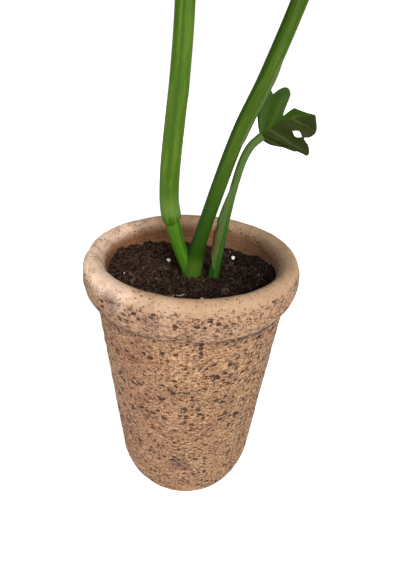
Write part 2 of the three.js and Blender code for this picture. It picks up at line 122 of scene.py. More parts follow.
def thicken(points, faces, values, thickness, under):
    """A sheet becomes a closed leaf: it moves half its thickness each way along its normals, and
    a wall goes round every free edge. The column named under is 1 on the lower face."""
    a, b, c = (points[faces[:, corner]] for corner in range(3))
    normals = np.zeros_like(points)
    for corner in range(3):
        np.add.at(normals, faces[:, corner], np.cross(b - a, c - a))
    normals /= np.linalg.norm(normals, axis=1, keepdims=True)
    count = len(points)
    edges = np.concatenate([faces[:, [0, 1]], faces[:, [1, 2]], faces[:, [2, 0]]])
    free = edges[~np.isin(edges[:, 0] * count + edges[:, 1], edges[:, 1] * count + edges[:, 0])]
    start, end = free.T
    walls = np.concatenate([
        np.stack([end, start, start + count], axis=1),
        np.stack([end, start + count, end + count], axis=1),
    ])
    at_point = np.zeros((count, values.shape[-1]))
    at_point[faces.ravel()] = values.reshape(-1, values.shape[-1])
    lower = values[:, ::-1].copy()
    if under is not None:
        lower[..., under] = 1.0
    points = np.concatenate([points + normals * thickness / 2, points - normals * thickness / 2])
    faces = np.concatenate([faces, faces[:, ::-1] + count, walls])
    values = np.concatenate([values, lower, at_point[walls % count]])
    return points, faces, values


def make_piece(name, patches, extras=(), thickness=0.0):
    """A mesh from patches, each a grid of points and a grid of surface values: the first two are the
    place on the surface, and the rest are named in extras. Points that coincide become one, so seams
    and poles close, triangles that lose a side are dropped, and the piece faces outwards."""
    corners = np.concatenate([triangles_of(points) for points, _ in patches])
    values = np.concatenate([triangles_of(value) for _, value in patches])
    flat = corners.reshape(-1, 3)
    rounded = np.round(flat * 1e6).astype(np.int64) + 2 ** 20
    key = rounded[:, 0] << 42 | rounded[:, 1] << 21 | rounded[:, 2]
    _, first, index = np.unique(key, return_index=True, return_inverse=True)
    points, faces = flat[first], index.reshape(-1, 3)
    whole = (faces != np.roll(faces, 1, axis=1)).all(axis=1)
    faces, values = faces[whole], values[whole]
    if thickness:
        under = 2 + list(extras).index("under") if "under" in extras else None
        points, faces, values = thicken(points, faces, values, thickness, under)
    a, b, c = (points[faces[:, corner]] for corner in range(3))
    if np.einsum("ij,ij->", a, np.cross(b, c)) < 0:
        faces, values = faces[:, ::-1], values[:, ::-1]
    mesh = bpy.data.meshes.new(name)
    mesh.from_pydata(points.tolist(), [], faces.tolist())
    places = np.ascontiguousarray(values[..., :2], dtype=np.float32)
    mesh.uv_layers.new(name="place").data.foreach_set("uv", places.ravel())
    for column, extra in enumerate(extras):
        attribute = mesh.attributes.new(extra, "FLOAT", "CORNER")
        numbers = np.ascontiguousarray(values[..., 2 + column], dtype=np.float32)
        attribute.data.foreach_set("value", numbers.ravel())
    mesh.polygons.foreach_set("use_smooth", np.ones(len(mesh.polygons), dtype=bool))
    mesh.update()
    piece = bpy.data.objects.new(name, mesh)
    bpy.context.scene.collection.objects.link(piece)
    return piece


def places_on(rows, columns):
    """The place on a surface, from 0 to 1 across its columns and along its rows."""
    return np.stack(np.meshgrid(np.linspace(0, 1, columns), np.linspace(0, 1, rows)), axis=-1)


def paint(name):
    """A new material: the material, its node tree and its shader."""
    material = bpy.data.materials.new(name)
    material.use_nodes = True
    return material, material.node_tree, material.node_tree.nodes["Principled BSDF"]


_, pot_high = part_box("pot")
pot_height = pot_high.z
rim_radius = pot_high.x
rim_height = 0.0305
rim_width = 0.0162
body_top_radius = rim_radius - 0.0074
body_base_radius = 0.0628
pot_wall = 0.0105
foot_inset, foot_rise = 0.015, 0.0314
inner_inset = 0.012
floor_thickness = 0.012
drain_radius, drain_circle = 0.005, 0.021
inner_top_radius = body_top_radius - pot_wall
pot_columns = 288


def value_noise(points, seed):
    """Smooth noise from -1 to 1: random numbers at whole-number corners, eased between them."""
    lattice = np.random.default_rng(seed).uniform(-1, 1, (32, 32, 32))
    base = np.floor(points).astype(int)
    part = points - base
    ease = part * part * (3 - 2 * part)
    total = np.zeros(points.shape[:-1])
    for corner in np.ndindex(2, 2, 2):
        weight = np.prod(np.where(corner, ease, 1 - ease), axis=-1)
        place = (base + corner) % 32
        total += weight * lattice[place[..., 0], place[..., 1], place[..., 2]]
    return total


def rough_noise(points, seed, octaves):
    """Layers of smooth noise, each twice as fine and about half as strong as the last."""
    layers = [value_noise(points * 2.03 ** layer, seed + layer) * 0.52 ** layer for layer in range(octaves)]
    return sum(layers)


def ellipse_arc(centre, half_sizes, from_angle, to_angle, steps):
    """Points along part of an ellipse, with angles in degrees from straight outwards."""
    angle = np.radians(np.linspace(from_angle, to_angle, steps))
    return np.array(centre) + np.stack([np.cos(angle), np.sin(angle)], axis=-1) * half_sizes


def even_steps(outline, count, close_at=None, close_count=24, close_reach=0.007, nudge=0.00001):
    """The same outline with its points spread at equal distances along it, and some of them closer
    together round its own point close_at, if one is given. The nudge keeps two from meeting."""
    steps = np.linalg.norm(np.diff(outline, axis=0), axis=-1)
    along = np.concatenate([[0.0], np.cumsum(steps)])
    wanted = np.linspace(0, along[-1], count)
    if close_at is not None:
        middle = along[close_at]
        wide = np.linspace(0, along[-1], count - close_count)
        close = np.linspace(middle - close_reach, middle + close_reach, close_count) + nudge
        wanted = np.sort(np.concatenate([wide, close]))
    return np.stack([np.interp(wanted, along, axis) for axis in outline.T], axis=-1)


foot_steps = 24
groove_bottom = foot_steps + 2


def pot_outline():
    """Radius and height from the edge of the foot, up the outside, over the rim and down the inside."""
    foot_middle = (body_base_radius - foot_inset, foot_rise)
    foot = ellipse_arc(foot_middle, (foot_inset, foot_rise), -90, 0, foot_steps)
    rim_foot = pot_height - rim_height
    groove = [
        [body_top_radius - 0.0001, rim_foot - 0.0030],
        [body_top_radius - 0.0020, rim_foot - 0.0014],
        [body_top_radius - 0.0026, rim_foot + 0.0002],
        [body_top_radius - 0.0016, rim_foot + 0.0010],
    ]
    rim_middle = (rim_radius - rim_width / 2, pot_height - rim_height / 2)
    rim = ellipse_arc(rim_middle, (rim_width / 2, rim_height / 2), -76, 180, 60)
    lip = [[inner_top_radius, pot_height - rim_height * 0.75]]
    corner = (body_base_radius - pot_wall - inner_inset, foot_rise)
    inside = ellipse_arc(corner, (inner_inset, foot_rise - floor_thickness), 0, -90, 16)
    return np.concatenate([foot, groove, rim, lip, inside])


def thrown_walls(rows=286):
    """The outline turned about the axis, then pushed along its normal by wobble, ridges and dents."""
    outline = even_steps(pot_outline(), rows, groove_bottom)
    normal = np.gradient(outline, axis=0)[:, ::-1] * [1.0, -1.0]
    normal /= np.linalg.norm(normal, axis=-1, keepdims=True)
    angle = np.linspace(0, 2 * math.pi, pot_columns + 1)
    turn = np.stack([np.cos(angle), np.sin(angle)], axis=-1)
    turn[-1] = turn[0]
    radius, height = outline[:, None, :1], outline[:, None, 1:]
    points = np.concatenate([radius * turn, height + 0 * turn[:, :1]], axis=-1)
    wobble = 0.0006 * value_noise(points * [14, 14, 20], 3)
    ridge_phase = points[..., 2] * 900 + 3 * value_noise(points * 18, 5)
    ridges = 0.0002 * np.sin(ridge_phase) * (1 + value_noise(points * 25, 7))
    dents = 0.0003 * rough_noise(points * [90, 90, 220], 11, 3)
    from_ends = np.minimum(np.arange(rows), np.arange(rows)[::-1]) / 12
    push = (wobble + ridges + dents) * np.clip(from_ends, 0, 1)[:, None]
    points[..., :2] += (push * normal[:, None, 0])[..., None] * turn
    points[..., 2] += push * normal[:, None, 1]
    return points


def drained_floor(radius, height, rings=6, spokes=10):
    """A flat disc with a round hole in each third: from each hole's circle, straight lines run out to
    that third's outline, which is a spoke, a stretch of the disc's edge and a spoke back."""
    grids = []
    for third in range(3):
        middle = 2 * math.pi * third / 3 + math.pi / 2
        edge = middle + np.linspace(-1, 1, pot_columns // 3 + 1) * math.pi / 3
        spoke = np.linspace(0, radius, spokes + 1)[:-1, None]
        first = spoke * [math.cos(edge[0]), math.sin(edge[0])]
        last = spoke[::-1] * [math.cos(edge[-1]), math.sin(edge[-1])]
        arc = radius * np.stack([np.cos(edge), np.sin(edge)], axis=-1)
        outline = np.concatenate([first, arc, last])
        centre = drain_circle * np.array([math.cos(middle), math.sin(middle)])
        bearing = np.unwrap(np.arctan2(*(outline - centre).T[::-1]))
        circle = centre + drain_radius * np.stack([np.cos(bearing), np.sin(bearing)], axis=-1)
        share = np.linspace(0, 1, rings)[:, None, None]
        flat = circle + (outline - circle) * share
        grids.append(np.concatenate([flat, np.full(flat.shape[:2] + (1,), height)], axis=-1))
    return grids


walls = thrown_walls()
past_lip = (np.arange(len(walls)) > walls[:, 0, 2].argmax())[:, None, None]
past_lip = past_lip + np.zeros(walls.shape[:2] + (1,))
under_floor = drained_floor(walls[0, 0, 0], 0.0)
upper_floor = drained_floor(walls[-1, 0, 0], floor_thickness)
pot_grids = [walls] + [grid[::-1] for grid in under_floor] + upper_floor
pot_grids += [np.stack([above[0], below[0]]) for above, below in zip(upper_floor, under_floor)]
pot_values = []
for grid in pot_grids:
    outside = np.zeros(grid.shape[:2] + (1,))
    pot_values.append(np.concatenate([places_on(*grid.shape[:2]), outside], axis=-1))
pot_values[0][..., 2:] = past_lip
clay_pot = make_piece("clay_pot", list(zip(pot_grids, pot_values)), extras=("inside",))
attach(clay_pot, "root")
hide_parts("pot")


def add_node(tree, kind, values=None, **settings):
    """Adds a shader node. A value that is another node's output is linked, and any other is set."""
    node = tree.nodes.new("ShaderNode" + kind)
    for setting, choice in settings.items():
        setattr(node, setting, choice)
    for socket, value in (values or {}).items():
        if isinstance(value, bpy.types.NodeSocket):
            tree.links.new(value, node.inputs[socket])
        else:
            node.inputs[socket].default_value = value
    return node


def maths(tree, operation, *values):
    """One step of arithmetic on numbers or outputs."""
    return add_node(tree, "Math", dict(enumerate(values)), operation=operation).outputs[0]


def blend(tree, share, first, second):
    """Two colours mixed by a share from 0 to 1."""
    return add_node(tree, "Mix", {0: share, 6: first, 7: second}, data_type="RGBA").outputs[2]


def level(tree, value, low, high):
    """0 below the low value and 1 above the high one, with a smooth step between."""
    settings = {"Value": value, "From Min": low, "From Max": high}
    return add_node(tree, "MapRange", settings, interpolation_type="SMOOTHSTEP").outputs[0]


def grain(tree, place, scale, detail=2.0, roughness=0.5):
    """Noise from 0 to 1 at a scale."""
    settings = {"Vector": place, "Scale": scale, "Detail": detail, "Roughness": roughness}
    return add_node(tree, "TexNoise", settings).outputs["Fac"]


def new_group(name, inputs, outputs):
    """An empty shader node group with named inputs and outputs."""
    group = bpy.data.node_groups.new(name, "ShaderNodeTree")
    for direction, sockets in (("INPUT", inputs), ("OUTPUT", outputs)):
        for socket, kind in sockets.items():
            group.interface.new_socket(socket, in_out=direction, socket_type="NodeSocket" + kind)
    return group, group.nodes.new("NodeGroupInput").outputs, group.nodes.new("NodeGroupOutput").inputs


def speckle_group():
    """Flecks of grit: a ragged blob round each of many scattered points, each with its own size,
    which a much slower noise swells and shrinks so that they gather in crowds."""
    inputs = {"Place": "Vector", "Fineness": "Float", "Size": "Float", "Crowding": "Float"}
    group, given, result = new_group("speckle", inputs, {"Mask": "Float"})
    ragged = maths(group, "MULTIPLY", given["Fineness"], 2.2)
    warp_settings = {"Vector": given["Place"], "Scale": ragged, "Detail": 2.0}
    warp = add_node(group, "TexNoise", warp_settings).outputs["Color"]
    warp = add_node(group, "VectorMath", {0: warp, 1: (0.5, 0.5, 0.5)}, operation="SUBTRACT").outputs[0]
    reach = maths(group, "DIVIDE", 0.9, given["Fineness"])
    warp = add_node(group, "VectorMath", {0: warp, "Scale": reach}, operation="SCALE").outputs[0]
    warped = add_node(group, "VectorMath", {0: given["Place"], 1: warp}, operation="ADD").outputs[0]
    cells = add_node(group, "TexVoronoi", {"Vector": warped, "Scale": given["Fineness"]}).outputs
    chance = add_node(group, "SeparateColor", {0: cells["Color"]}).outputs[0]
    crowd = grain(group, given["Place"], maths(group, "MULTIPLY", given["Fineness"], 0.13), 2.0)
    crowd = maths(group, "MULTIPLY", maths(group, "SUBTRACT", crowd, 0.5), given["Crowding"])
    size = maths(group, "MULTIPLY", maths(group, "POWER", chance, 2.0), given["Size"])
    size = maths(group, "ADD", size, crowd)
    mask = level(group, cells["Distance"], size, maths(group, "MULTIPLY", size, 0.78))
    mask = maths(group, "MULTIPLY", mask, maths(group, "GREATER_THAN", size, 0.02))
    group.links.new(mask, result["Mask"])
    return group


speckle = speckle_group()


def specks(tree, place, fineness, size, crowding):
    """The speckle group placed in a material with its own values."""
    settings = {"Place": place, "Fineness": fineness, "Size": size, "Crowding": crowding}
    return add_node(tree, "Group", settings, node_tree=speckle).outputs[0]


def share_of(tree, value, share):
    """A mask made weaker."""
    return maths(tree, "MULTIPLY", value, share)


def inverse(tree, value):
    """One less a mask."""
    return maths(tree, "SUBTRACT", 1.0, value)


def coat(tree, mask, share, base, colour):
    """A colour laid over a base where a mask is, made weaker by a share."""
    return blend(tree, share_of(tree, mask, share), base, colour)


def dress(tree, shader, colour, height, relief, roughness, gloss):
    """Gives a shader its colour, a bump of a strength and a depth, its roughness and its gloss."""
    tree.links.new(colour, shader.inputs["Base Color"])
    bump = add_node(tree, "Bump", {"Height": height, "Strength": relief[0], "Distance": relief[1]})
    tree.links.new(bump.outputs[0], shader.inputs["Normal"])
    shader.inputs["Roughness"].default_value = roughness
    shader.inputs["Specular IOR Level"].default_value = gloss


def attribute(tree, name):
    """A number stored on the mesh."""
    return add_node(tree, "Attribute", attribute_name=name).outputs["Fac"]


def stain(tree, place, centre, size, ragged):
    """A soft round patch about a point, with its edge broken by a noise."""
    away = add_node(tree, "VectorMath", {0: place, 1: centre}, operation="DISTANCE").outputs["Value"]
    away = maths(tree, "DIVIDE", away, size)
    away = maths(tree, "ADD", away, maths(tree, "MULTIPLY", maths(tree, "SUBTRACT", ragged, 0.5), 3.4))
    return level(tree, away, 1.0, 0.6)


clay, tree, shader = paint("speckled_clay")
place = add_node(tree, "TexCoord").outputs["Object"]
dragged = add_node(tree, "Mapping", {"Vector": place, "Scale": (1.0, 1.0, 1.6)}).outputs[0]
across, _, height = add_node(tree, "SeparateXYZ", {0: place}).outputs
slow = grain(tree, place, 26.0, 4.0, 0.6)
ragged = grain(tree, dragged, 110.0, 4.0, 0.65)
mottle = grain(tree, dragged, 430.0, 4.0, 0.75)
uneven_height = maths(tree, "MULTIPLY_ADD", maths(tree, "SUBTRACT", ragged, 0.5), 0.012, height)
on_rim_top = level(tree, uneven_height, pot_height - 0.0095, pot_height - 0.0045)
inner_lip = level(tree, height, pot_height - 0.013, pot_height - 0.003)
inside = maths(tree, "MULTIPLY", attribute(tree, "inside"), inverse(tree, inner_lip))
on_rim_top = maths(tree, "MAXIMUM", on_rim_top, maths(tree, "MULTIPLY", attribute(tree, "inside"), inner_lip))
smooth = maths(tree, "MAXIMUM", on_rim_top, inside)
towards_right = level(tree, across, -0.06, 0.06)
base = blend(tree, level(tree, slow, 0.3, 0.7), (0.165, 0.078, 0.044, 1), (0.24, 0.138, 0.078, 1))
base = coat(tree, towards_right, 0.6, base, (0.165, 0.098, 0.048, 1))
base = coat(tree, level(tree, mottle, 0.5, 0.32), 0.75, base, (0.38, 0.25, 0.155, 1))
off_smooth = maths(tree, "MULTIPLY_ADD", smooth, -0.65, 0.85)
base = coat(tree, level(tree, mottle, 0.49, 0.64), off_smooth, base, (0.068, 0.032, 0.019, 1))
on_rim = level(tree, height, pot_height - rim_height, pot_height - rim_height + 0.004)
rim_face = maths(tree, "MULTIPLY", on_rim, inverse(tree, smooth))
base = coat(tree, rim_face, 0.4, base, (0.22, 0.138, 0.095, 1))
# The rim top is paler clay with fewer specks, and a painted highlight makes it much paler at the left, fading
# towards the right.
from_left = level(tree, across, -0.07, -0.015)
rim_clay_and_painted_light = blend(tree, from_left, (0.62, 0.44, 0.33, 1), (0.27, 0.18, 0.115, 1))
rim_clay_and_painted_light = coat(tree, level(tree, ragged, 0.45, 0.62), 0.45, rim_clay_and_painted_light, (0.19, 0.115, 0.07, 1))
base = blend(tree, share_of(tree, on_rim_top, 0.8), base, rim_clay_and_painted_light)
flattened = add_node(tree, "Mapping", {"Vector": place, "Scale": (0.1, 0.1, 5.0)}).outputs[0]
throwing_line = level(tree, grain(tree, flattened, 110.0, 3.0), 0.35, 0.65)
wall_clay = blend(tree, throwing_line, (0.085, 0.030, 0.011, 1), (0.15, 0.062, 0.026, 1))
wall_clay = coat(tree, towards_right, 0.5, wall_clay, (0.10, 0.055, 0.03, 1))
base = blend(tree, share_of(tree, inside, 0.85), base, wall_clay)
fewer = maths(tree, "MULTIPLY", smooth, -0.45)
# Each kind of grit: how fine, how much larger on the rim, size, crowding, strength, colour.
grit = [
    (560.0, 0.22, 0.85, 0.9, 0.8, (0.045, 0.020, 0.012, 1)),
    (240.0, -0.08, 0.62, 0.5, 0.92, (0.018, 0.009, 0.006, 1)),
    (105.0, -0.22, 0.40, 0.3, 0.9, (0.017, 0.010, 0.009, 1)),
]
flecks = []
for fineness, rim_gain, size, crowding, strength, colour in grit:
    size = maths(tree, "MULTIPLY_ADD", rim_face, rim_gain, maths(tree, "ADD", fewer, size))
    flecks.append(specks(tree, dragged, fineness, size, crowding))
    base = coat(tree, flecks[-1], strength, base, colour)
wiped, bruised = (0.50, 0.37, 0.29, 1), (0.045, 0.022, 0.024, 1)
stains = [
    ((-0.0545, -0.0475, 0.2266), 0.013, 0.35, wiped),
    ((-0.0435, -0.0610, 0.2256), 0.012, 0.35, wiped),
    ((-0.0145, -0.0752, 0.2237), 0.010, 0.12, wiped),
    ((-0.0480, -0.0625, 0.2190), 0.007, 0.4, bruised),
    ((-0.0230, -0.0765, 0.2130), 0.006, 0.35, bruised),
    ((-0.0056, -0.0641, 0.0574), 0.012, 0.55, bruised),
]
for centre, size, strength, colour in stains:
    base = coat(tree, stain(tree, place, centre, size, ragged), strength, base, colour)
# Painted shade under the rim: a thin dark line as the shadow in the crease below the rim's overhang, and a
# patchy darker band below it that is heavier at the sides.
groove_height = pot_height - rim_height
below = level(tree, height, groove_height - 0.010, groove_height - 0.0015)
above = level(tree, height, groove_height + 0.005, groove_height + 0.001)
to_side = level(tree, maths(tree, "ABSOLUTE", across), 0.012, 0.035)
to_side = maths(tree, "MULTIPLY_ADD", to_side, 0.8, 0.2)
patchy_side_shade = maths(tree, "MULTIPLY", level(tree, ragged, 0.40, 0.56), to_side)
under_rim_shade = maths(tree, "MULTIPLY", maths(tree, "MULTIPLY", below, above), patchy_side_shade)
joint_low = level(tree, height, groove_height - 0.0030, groove_height - 0.0018)
joint_high = level(tree, height, groove_height + 0.0016, groove_height + 0.0002)
crease_shadow = maths(tree, "MULTIPLY", joint_low, joint_high)
under_rim_shade = maths(tree, "MAXIMUM", under_rim_shade, share_of(tree, crease_shadow, 0.85))
base = coat(tree, under_rim_shade, 0.8, base, (0.03, 0.025, 0.023, 1))
finer_flecks = maths(tree, "MAXIMUM", flecks[0], flecks[1])
clay_relief = maths(tree, "SUBTRACT", maths(tree, "MULTIPLY", mottle, 0.6), finer_flecks)
dress(tree, shader, base, clay_relief, (0.6, 0.0006), 0.92, 0.12)
clay_pot.data.materials.append(clay)

# ---------------------------------------------------------------- soil
# Moist dark potting mix that fills the pot to a finger's width below the rim. It is low at the
# stems and rises unevenly to the wall, and crumbs, coir threads, bark and perlite lie on it.
ground = pot_height - 0.026


def soil_height(x, y):
    """A slow tilt that grows towards the wall, broad lumps, then clods and crumbs from noise."""
    share = np.minimum(np.hypot(x, y) / inner_top_radius, 1)
    angle = np.arctan2(y, x)
    tilt = 0.0045 * np.cos(2 * angle) - 0.0035 * np.sin(2 * angle)
    lumps = np.sin(x * 310 + 1) * np.cos(y * 270) + np.sin(x * 130 - y * 190)
    lie = (0.006 + tilt) * share ** 3 + 0.0011 * lumps * np.minimum(share * 2, 1)
    flat = np.stack([x, y, 0 * x], axis=-1)
    crumbs = 0.0018 * np.abs(rough_noise(flat * 150, 21, 4)) + 0.0012 * rough_noise(flat * 420, 31, 2)
    clods = 0.0022 * np.maximum(value_noise(flat * 75, 41), 0)
    return ground + lie + crumbs + clods - 0.0014


def soil_grid(columns=360, rings=150):
    """Rings from the middle out to the wall at the soil's height, then down the wall to the floor."""
    angle = np.linspace(0, 2 * math.pi, columns + 1)
    turn = np.stack([np.cos(angle), np.sin(angle)], axis=-1)
    turn[-1] = turn[0]
    top = np.linspace(0, inner_top_radius + 0.0009, rings)[:, None, None] * turn
    top = np.concatenate([top, soil_height(top[..., 0], top[..., 1])[..., None]], axis=-1)
    base = body_base_radius - pot_wall - 0.0004
    edge = [
        [inner_top_radius - 0.0015, ground - 0.012],
        [base, foot_rise],
        [base - inner_inset, floor_thickness + 0.0003],
        [0.0, floor_thickness + 0.0003],
    ]
    side = [np.concatenate([radius * turn, height + 0 * turn[:, :1]], axis=-1) for radius, height in edge]
    return np.concatenate([top, side])


soil_points = soil_grid()
potting_soil = make_piece("potting_soil", [(soil_points, places_on(*soil_points.shape[:2]))])
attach(potting_soil, "root")
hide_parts("soil")

soil_mix, tree, shader = paint("potting_mix")
place = add_node(tree, "TexCoord").outputs["Object"]
fleck = grain(tree, place, 900.0, 3.0, 0.7)
across = add_node(tree, "SeparateXYZ", {0: place}).outputs[0]
crumb = level(tree, grain(tree, place, 420.0, 4.0, 0.7), 0.42, 0.62)
base = blend(tree, crumb, (0.0012, 0.0006, 0.0005, 1), (0.05, 0.024, 0.014, 1))
# Painted shadow of the pot wall: the soil is painted much darker towards the right.
base = coat(tree, level(tree, across, -0.01, 0.05), 0.85, base, (0.004, 0.002, 0.0016, 1))
base = coat(tree, level(tree, fleck, 0.54, 0.7), 0.7, base, (0.10, 0.055, 0.034, 1))
dress(tree, shader, base, fleck, (0.9, 0.0012), 1.0, 0.12)
potting_soil.data.materials.append(soil_mix)


def lump_shape():
    """The twelve corners and twenty faces of an icosahedron of radius 1."""
    golden = (1 + 5 ** 0.5) / 2
    signs = np.array([(a, b * golden) for a in (-1, 1) for b in (-1, 1)])
    zero = np.zeros(4)
    corners = np.concatenate([
        np.stack([zero, signs[:, 0], signs[:, 1]], axis=1),
        np.stack([signs[:, 0], signs[:, 1], zero], axis=1),
        np.stack([signs[:, 1], zero, signs[:, 0]], axis=1),
    ]) / math.hypot(1, golden)
    triples = np.argwhere(np.ones((12, 12, 12)))
    triples = triples[(triples[:, 0] < triples[:, 1]) & (triples[:, 1] < triples[:, 2])]
    sides = np.linalg.norm(corners[triples] - corners[np.roll(triples, 1, axis=1)], axis=-1)
    faces = triples[sides.max(axis=1) < 1.2]
    a, b, c = (corners[faces[:, corner]] for corner in range(3))
    inward = np.einsum("ij,ij->i", a, np.cross(b, c)) < 0
    faces[inward] = faces[inward][:, ::-1]
    return corners, faces


def random_turns(count, random):
    """Evenly spread random rotations, from random quaternions of length 1."""
    q = random.normal(size=(count, 4))
    w, x, y, z = (q / np.linalg.norm(q, axis=1, keepdims=True)).T
    rows = [
        [1 - 2 * (y * y + z * z), 2 * (x * y - z * w), 2 * (x * z + y * w)],
        [2 * (x * y + z * w), 1 - 2 * (x * x + z * z), 2 * (y * z - x * w)],
        [2 * (x * z - y * w), 2 * (y * z + x * w), 1 - 2 * (x * x + y * y)],
    ]
    return np.array(rows).transpose(2, 0, 1)


def scatter_lumps(name, count, sizes, slimness, sink, seed, material):
    """Small uneven lumps, turned at random and set into the soil, spread evenly over its disc."""
    random = np.random.default_rng(seed)
    corners, lump_faces = lump_shape()
    radius = (inner_top_radius - 0.003) * np.sqrt(random.uniform(0, 1, count))
    angle = random.uniform(0, 2 * math.pi, count)
    x, y = radius * np.cos(angle), radius * np.sin(angle)
    size = sizes[0] + (sizes[1] - sizes[0]) * random.uniform(0, 1, count) ** 3
    stretch = random.uniform(slimness, 1, (count, 1, 3)) * size[:, None, None]
    shapes = corners * random.uniform(0.7, 1.2, (count, 12, 1)) * stretch
    shapes = np.einsum("nij,nkj->nki", random_turns(count, random), shapes)
    centres = np.stack([x, y, soil_height(x, y) + size * sink], axis=-1)
    points = (shapes + centres[:, None]).reshape(-1, 3)
    faces = (lump_faces + 12 * np.arange(count)[:, None, None]).reshape(-1, 3)
    mesh = bpy.data.meshes.new(name)
    mesh.from_pydata(points.tolist(), [], faces.tolist())
    mesh.materials.append(material)
    piece = bpy.data.objects.new(name, mesh)
    bpy.context.scene.collection.objects.link(piece)
    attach(piece, "root")


scatter_lumps("soil_crumbs", 5200, (0.0004, 0.0029), 0.5, 0.35, 51, soil_mix)

coir, _, shader = paint("coir_thread")
shader.inputs["Base Color"].default_value = (0.055, 0.029, 0.017, 1)
shader.inputs["Roughness"].default_value = 0.8
straw, _, shader = paint("straw_thread")
shader.inputs["Base Color"].default_value = (0.34, 0.24, 0.14, 1)
shader.inputs["Roughness"].default_value = 0.7


def thread_grids(starts, bearings, lengths, curls, lifts, thickness, steps=9):
    """Thin bent threads: each runs over the soil from its start, curling sideways and arching up,
    and a round section shrinks to nothing at both ends."""
    share = np.linspace(0, 1, steps)
    heading = bearings[:, None] + curls[:, None] * share
    step = lengths[:, None, None] / (steps - 1)
    ahead = np.stack([np.cos(heading), np.sin(heading)], axis=-1)
    path = starts[:, None] + np.cumsum(ahead, axis=1) * step
    radius = np.linalg.norm(path, axis=-1, keepdims=True)
    path *= np.minimum(1, (inner_top_radius - 0.001) / radius)
    arch = lifts[:, None] * np.sin(math.pi * share * 0.9)
    lie = soil_height(path[..., 0], path[..., 1]) + 0.0003 + arch
    centre = np.concatenate([path, lie[..., None]], axis=-1)
    ahead = np.gradient(centre, axis=1)
    ahead /= np.linalg.norm(ahead, axis=-1, keepdims=True)
    side = np.cross(ahead, [0, 0, 1])
    side /= np.linalg.norm(side, axis=-1, keepdims=True)
    over = np.cross(side, ahead)
    around = np.linspace(0, 2 * math.pi, 6)[:, None]
    section = np.cos(around) * side[:, :, None] + np.sin(around) * over[:, :, None]
    section[:, :, -1] = section[:, :, 0]
    slim = thickness * np.clip(np.sin(math.pi * share), 0, 1)[:, None, None] ** 0.3
    slim[[0, -1]] = 0
    return centre[:, :, None] + section * slim


def strew_threads(name, grids, material):
    """A piece of threads from their grids, given a material and laid on the soil."""
    piece = make_piece(name, [(grid, places_on(*grid.shape[:2])) for grid in grids])
    piece.data.materials.append(material)
    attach(piece, "root")


def scatter_threads(name, count, lengths, thickness, lift, seed, material):
    """Threads strewn over the soil at random."""
    random = np.random.default_rng(seed)
    radius = (inner_top_radius - 0.006) * np.sqrt(random.uniform(0, 1, count))
    angle = random.uniform(0, 2 * math.pi, count)
    starts = np.stack([radius * np.cos(angle), radius * np.sin(angle)], axis=-1)
    bearings = random.uniform(0, 2 * math.pi, count)
    lengths = random.uniform(*lengths, count)
    curls = random.uniform(-0.9, 0.9, count)
    lifts = random.uniform(0, lift, count)
    strew_threads(name, thread_grids(starts, bearings, lengths, curls, lifts, thickness), material)


scatter_threads("coir_threads", 1000, (0.003, 0.010), 0.00018, 0.0016, 61, coir)
scatter_threads("pale_threads", 40, (0.003, 0.007), 0.00013, 0.0008, 71, straw)
straw_start = np.array([[-0.0165, -0.0335]])
one = np.ones(1)
straw_grid = thread_grids(straw_start, 0.55 * one, 0.014 * one, -0.15 * one, 0.0030 * one, 0.00045)
strew_threads("long_straw", straw_grid, straw)

perlite, tree, shader = paint("perlite")
place = add_node(tree, "TexCoord").outputs["Object"]
pores = grain(tree, place, 1500.0)
tree.links.new(blend(tree, pores, (0.45, 0.40, 0.34, 1), (0.85, 0.82, 0.77, 1)), shader.inputs["Base Color"])
bump = add_node(tree, "Bump", {"Height": pores, "Strength": 0.8, "Distance": 0.0005})
tree.links.new(bump.outputs[0], shader.inputs["Normal"])
shader.inputs["Roughness"].default_value = 0.9
scatter_lumps("perlite_dust", 46, (0.0003, 0.0009), 0.6, 0.5, 81, perlite)

bark, tree, shader = paint("bark_chip")
place = add_node(tree, "TexCoord").outputs["Object"]
fibre = grain(tree, place, 500.0, 4.0)
browns = blend(tree, fibre, (0.02, 0.012, 0.008, 1), (0.09, 0.05, 0.03, 1))
tree.links.new(browns, shader.inputs["Base Color"])
shader.inputs["Roughness"].default_value = 0.85


def uneven_ball(low, high, seed, roughness, rise):
    """A ball that fills a box, pushed in and out by noise. It lies on the soil, raised or sunk by a
    share of its half height."""
    tilt = np.linspace(0, math.pi, 25)[:, None]
    turn = np.linspace(0, 2 * math.pi, 33)
    flat = [np.sin(tilt) * np.cos(turn), np.sin(tilt) * np.sin(turn)]
    ball = np.stack(flat + [np.cos(tilt) + 0 * turn], axis=-1)
    ball[:, -1] = ball[:, 0]
    ball[0], ball[-1] = (0, 0, 1), (0, 0, -1)
    ball *= 1 + roughness * rough_noise(ball * 1.7 + seed, seed, 3)[..., None]
    middle, half = (np.array(low) + np.array(high)) / 2, (np.array(high) - np.array(low)) / 2
    middle[2] = soil_height(middle[:1], middle[1:2])[0] + half[2] * rise
    return middle + ball * half * 0.95


for kind, count, material, roughness in (("perlite", 6, perlite, 0.25), ("bark_chip", 4, bark, 0.3)):
    for number in range(1, count + 1):
        node_name = f"{kind}_{number}"
        rise = 0.35 if number <= 2 or kind == "bark_chip" else -0.5
        ball = uneven_ball(*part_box(node_name), 90 + number, roughness, rise)
        lump = make_piece(f"{node_name}_lump", [(ball, places_on(*ball.shape[:2]))])
        lump.data.materials.append(material)
        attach(lump, "root")
        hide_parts(node_name)
